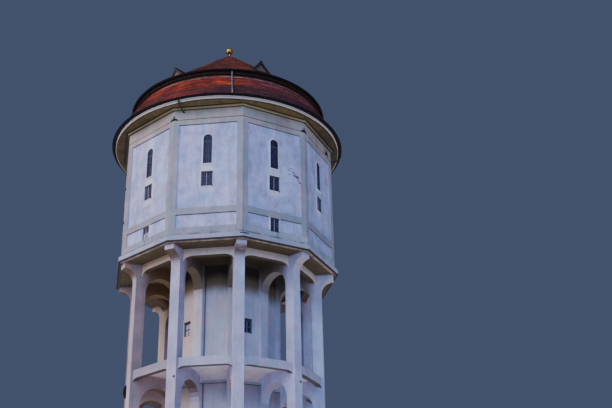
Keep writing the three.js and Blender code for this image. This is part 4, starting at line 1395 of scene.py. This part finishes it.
def tiled_ring(name, foot, head, finish, seed):
    length = math.hypot(foot[0] - head[0], head[1] - foot[1])
    mesh = grown_mesh(
        name, tile_courses, Tile=tile_pattern, Courses=round(length / TILE_GAUGE), Tile_Width=TILE_WIDTH,
        Foot_Radius=foot[0], Foot_Height=foot[1], Head_Radius=head[0], Head_Height=head[1],
        Tilt=slope_of(foot, head) - TILE_LAP, Seed=seed, Finish=finish,
    )
    return piece_of(name, mesh)


def batten_felt_material():
    """What shows in the joints between tiles: dark battens and dust."""
    material, shader, place = new_material("battens")
    dust = noise(place, 4.0, 5.0, 0.6)
    colour = mixed(between(dust, 0.35, 0.7), (0.05, 0.02, 0.014), (0.02, 0.013, 0.011))
    surfaced(shader, colour, 0.95, dust, 0.004, 0.5)
    return material


tile_courses = tile_courses_tree()
tile_pattern = mesh_object("tile_pattern", tile_mesh())
red_tiles = tile_material("red_tiles", (0.60, 0.045, 0.012), (0.22, 0.018, 0.012), (0.10, 0.045, 0.020), 0.5,
                          (0.98, 0.15, 0.015))
battens = batten_felt_material()
tiled_ring("lower_tiles", LOWER_FOOT, LOWER_HEAD, red_tiles, 7)
finish_with(battens, "lower_roof")

# Upper eaves
# Dark stained boards under the cone carry its gutter and throw the top of the steep ring into shade.
STEP_PROFILE = [(5.18, 30.9503), (5.40, 30.9503), (5.40, 31.0), (5.56, 31.0), (5.56, 31.09), (5.18, 31.09)]
brown_boards = painted_wood_material("brown_boards", (0.036, 0.020, 0.015), (0.024, 0.015, 0.012))
upper_ring = turned_mesh("upper_eaves_ring", STEP_PROFILE)
standing_in("upper_eaves_ring", upper_ring, brown_boards, "upper_eaves")

# Cone of brown tiles
# The same tiles, but on the flatter slope rain and moss have turned them brown and olive.
# The courses end under the collar of the finial.
CONE_FOOT = (5.66, 31.15)
CONE_HEAD = (0.14, 35.95)
brown_tiles = tile_material(
    "brown_tiles", (0.50, 0.095, 0.050), (0.20, 0.055, 0.045), (0.15, 0.098, 0.038), 0.6
)
tiled_ring("cone_tiles", CONE_FOOT, CONE_HEAD, brown_tiles, 19)
finish_with(battens, "upper_roof")

# Dormers
# Five small gables that air the roof space, tiled on both slopes and closed in front with beige boards.
# A half-round ridge of clay runs back from each peak into the cone.
DORMER_HALF = 0.64
DORMER_PEAK = 33.00
DORMER_EAVES = 32.26
DORMER_FRONT = 4.30
DORMER_BACK = 3.10
DORMER_RECESS = 0.09
DORMER_SHELL = 0.11
DORMER_ROWS = 6
DORMER_COLUMNS = 6
DORMER_BOARDS = 9
RIDGE_PARTS = 8


def tile_rows_tree():
    """Rows of tiles on a flat slope, with a tone kept on each tile: across along X and up along Y."""
    tree, given, output = geometry_tree(
        "Tile rows", Tile="Object", Rows="Int", Columns="Int", Tile_Width="Float", Gauge="Float",
        Tilt="Float", Seed="Int",
    )
    index, row, column = counted_off(tree, given["Columns"])
    across = (column + 0.5 + row % 2.0 * 0.5) * given["Tile Width"]
    lean = random_between(-0.02, 0.02, given["Seed"], index)
    tiles = copied(given["Rows"] * given["Columns"], combined(across, row * given["Gauge"], 0.0),
                   combined(lean - given["Tilt"], 0.0, 0.0), given["Tile"])
    tone = random_between(0.0, 1.0, given["Seed"] + 500.0, index)
    realized(kept_number(tiles, "tile_tone", tone), given["Finish"], output)
    return tree


def dormer_slopes(rows_mesh):
    """Lays the rows on the right slope of a dormer at azimuth 0, and their mirror image on the left one."""
    slope = math.atan2(DORMER_PEAK - DORMER_EAVES, DORMER_HALF)
    up_right = Vector((-math.cos(slope), 0, math.sin(slope)))
    inward = Vector((0, 1, 0))
    lay = Matrix((inward, up_right, inward.cross(up_right))).transposed().to_4x4()
    lay.translation = Vector((DORMER_HALF + 0.02, -DORMER_FRONT - 0.015, DORMER_EAVES - 0.01))
    shape = bmesh.new()
    for side in (1, -1):
        first = len(shape.verts)
        shape.from_mesh(rows_mesh)
        shape.verts.ensure_lookup_table()
        for vert in shape.verts[first:]:
            vert.co = lay @ vert.co
            vert.co.x *= side
    return finished_mesh("dormer_slopes", shape)


def dormer_ridge():
    """The half-round ridge over a dormer."""
    shape = bmesh.new()
    turns = [math.pi * part / RIDGE_PARTS for part in range(RIDGE_PARTS + 1)]
    skin(shape, [
        [(0.075 * math.cos(turn), -outward, DORMER_PEAK - 0.015 + 0.06 * math.sin(turn)) for turn in turns]
        for outward in (DORMER_FRONT + 0.02, DORMER_BACK + 0.3)
    ])
    return finished_mesh("dormer_ridge", shape)


def dormer_front():
    """Upright boards that fill the gable behind its edge."""
    shape = bmesh.new()
    pitch = (DORMER_PEAK - DORMER_EAVES) / DORMER_HALF
    peak = DORMER_PEAK - DORMER_SHELL * math.hypot(1, pitch) - 0.004
    half = DORMER_HALF - DORMER_SHELL
    face = DORMER_FRONT - DORMER_RECESS
    width = 2 * half / DORMER_BOARDS
    foot = DORMER_EAVES - 0.02
    for board in range(DORMER_BOARDS):
        left = -half + board * width + 0.005
        right = left + width - 0.01
        outline = [(left, foot), (right, foot), (right, peak - abs(right) * pitch)]
        if left < 0 < right:
            outline.append((0.0, peak))
        outline.append((left, peak - abs(left) * pitch))
        depths = (face + 0.02, face - 0.01)
        skin(shape, [[(across, -outward, up) for across, up in outline] for outward in depths])
    return finished_mesh("dormer_front", shape)


dormer_rows = grown_mesh(
    "dormer_rows", tile_rows_tree(), Tile=tile_pattern, Rows=DORMER_ROWS, Columns=DORMER_COLUMNS,
    Tile_Width=TILE_WIDTH, Gauge=TILE_GAUGE, Tilt=TILE_LAP, Seed=3, Finish=brown_tiles,
)
bpy.data.objects.remove(tile_pattern)
stained_boards = painted_wood_material("stained_boards", (0.018, 0.014, 0.013), (0.045, 0.036, 0.03))
beige_boards = painted_wood_material("beige_boards", (0.22, 0.155, 0.125), (0.13, 0.09, 0.075))
round_the_tower("dormer_tiles", dormer_slopes(dormer_rows), brown_tiles, 5, 0.5, 2.0)
round_the_tower("dormer_ridges", dormer_ridge(), battens, 5, 0.5, 2.0)
round_the_tower("dormer_fronts", dormer_front(), beige_boards, 5, 0.5, 2.0)
finish_with(stained_boards, *[f"dormer_{dormer + 1}" for dormer in range(SIDES // 2)])

# Finial
# A hollow ball of gilded copper on a short neck, with a collar of its own at the top of the cone.
# The gilding is still bright, with spots of tarnish, and its colour darkens towards the underside.
BALL_RADIUS = 0.21
BALL_HEIGHT = 36.37
BALL_PARTS = 24
COLLAR_RADIUS = 0.075
NECK_RADIUS = 0.038
APEX = 35.9703


def finial_profile():
    start = math.pi - math.asin(NECK_RADIUS / BALL_RADIUS)
    profile = [(0.0, APEX), (COLLAR_RADIUS, APEX)]
    profile += [(COLLAR_RADIUS * 0.9, APEX + 0.03), (NECK_RADIUS, APEX + 0.075)]
    for part in range(BALL_PARTS):
        turn = start - start * part / BALL_PARTS
        profile.append((BALL_RADIUS * math.sin(turn), BALL_HEIGHT + BALL_RADIUS * math.cos(turn)))
    return [*profile, (0.0, BALL_HEIGHT + BALL_RADIUS)]


def gilding_material():
    material, shader, place = new_material("gilding")
    tarnish = noise(place, 9.0, 5.0, 0.65)
    colour = layered(
        (0.85, 0.48, 0.07),
        (between(tarnish, 0.5, 0.75, 0.0, 0.6), (0.42, 0.20, 0.04)),
        # the colour darkens towards the underside
        (fading(surface_normal(place)[2], -0.95, -0.2, 0.9), (0.10, 0.045, 0.012)),
    )
    feed(shader, Metallic=1.0)
    surfaced(shader, colour, between(tarnish, 0.3, 0.7, 0.2, 0.42), tarnish, 0.002, 0.3)
    return material


finial_mesh = turned_mesh("gilded_ball", finial_profile(), 48, False)
standing_in("gilded_ball", finial_mesh, gilding_material(), "finial")

# Roof downpipe
# A thin zinc pipe from the upper gutter to the lower one, held off the tiles by small clips.
PIPE_AZIMUTH = -5.7 / 36.0
PIPE_FOOT = (6.71, 29.01)
PIPE_HEAD = (5.51, 30.95)
PIPE_CLIP = 0.046
CLIP_SHARES = (0.28, 0.62)
pipe_metal = weathered_metal_material("pipe_metal", (0.30, 0.29, 0.32), (0.18, 0.17, 0.19), 0.4)
finish_with(pipe_metal, "roof_downpipe")


def pipe_clips():
    """Flat bands round the pipe, square to the slope of the steep ring."""
    shape = bmesh.new()
    lean = Matrix.Rotation(slope_of(LOWER_FOOT, LOWER_HEAD) - math.pi, 4, "X")
    for share in CLIP_SHARES:
        radius, height = [foot + share * (head - foot) for foot, head in zip(PIPE_FOOT, PIPE_HEAD)]
        cone_into(shape, Matrix.Translation((0, -radius, height)) @ lean, 16, PIPE_CLIP, PIPE_CLIP, 0.03)
    return finished_mesh("pipe_clips", shape)


round_the_tower("downpipe_clips", pipe_clips(), dark_iron, 1, PIPE_AZIMUTH)

# Floor, light and camera
# A plain pale floor under a broad soft light from the left, a weaker and bluer one from the front,
# and a soft light upwards in place of what a sunny yard throws back, which the floor lets through.
# The camera stands near the tower's foot and looks steeply up, so it holds the roof and the upper gallery.
FLOOR_REACH = 150.0
floor_mesh = bpy.data.meshes.new("floor")
floor_corners = [
    (across * FLOOR_REACH, along * FLOOR_REACH, 0)
    for across, along in ((-1, -1), (1, -1), (1, 1), (-1, 1))
]
floor_mesh.from_pydata(floor_corners, [], [(0, 1, 2, 3)])
floor = mesh_object("floor", floor_mesh)
floor_finish, floor_shader, floor_place = new_material("studio_floor")
floor_tone = mixed(noise(floor_place, 0.3), (0.70, 0.69, 0.72), (0.74, 0.73, 0.76))
feed(floor_shader, Base_Color=floor_tone, Roughness=0.9)
floor_mesh.materials.append(floor_finish)
floor.visible_shadow = False


def sun(name, azimuth, elevation, strength, colour, spread):
    """A soft sun that shines from an azimuth and elevation, in degrees."""
    light = bpy.data.lights.new(name, "SUN")
    light.energy = strength
    light.color = colour
    light.angle = math.radians(spread)
    lamp = bpy.data.objects.new(name, light)
    away = math.radians(azimuth)
    up = math.radians(elevation)
    toward = Vector((math.sin(away) * math.cos(up), -math.cos(away) * math.cos(up), math.sin(up)))
    lamp.rotation_euler = toward.to_track_quat("Z", "Y").to_euler()
    bpy.context.scene.collection.objects.link(lamp)


sun("key", -72, 28, 2.4, (1.0, 0.87, 0.79), 50)
sun("front", -2, 24, 1.4, (0.37, 0.60, 1.0), 60)
sun("yard", 0, -90, 2.8, (1.0, 0.84, 0.72), 105)
world = bpy.data.worlds.new("studio")
bpy.context.scene.world = world
world.use_nodes = True
feed(world.node_tree.nodes["Background"], Color=(0.38, 0.50, 0.90), Strength=0.17)

CAMERA_PLACE = Vector((-6.209, -48.716, 1.6))
CAMERA_HEADING = math.radians(12.591)
CAMERA_TILT = math.radians(26.129)
CAMERA_ROLL = math.radians(-1.43)
forward = Vector((
    math.sin(CAMERA_HEADING) * math.cos(CAMERA_TILT),
    math.cos(CAMERA_HEADING) * math.cos(CAMERA_TILT),
    math.sin(CAMERA_TILT),
))
level_right = Vector((math.cos(CAMERA_HEADING), -math.sin(CAMERA_HEADING), 0))
level_up = level_right.cross(forward)
camera_right = math.cos(CAMERA_ROLL) * level_right + math.sin(CAMERA_ROLL) * level_up
camera_up = math.cos(CAMERA_ROLL) * level_up - math.sin(CAMERA_ROLL) * level_right
camera_data = bpy.data.cameras.new("camera")
camera_data.sensor_width = 36.0
camera_data.lens = 55.42
camera_data.clip_end = 600.0
camera = bpy.data.objects.new("camera", camera_data)
turn = Matrix((camera_right, camera_up, -forward)).transposed()
camera.matrix_world = Matrix.Translation(CAMERA_PLACE) @ turn.to_4x4()
bpy.context.scene.collection.objects.link(camera)
bpy.context.scene.camera = camera
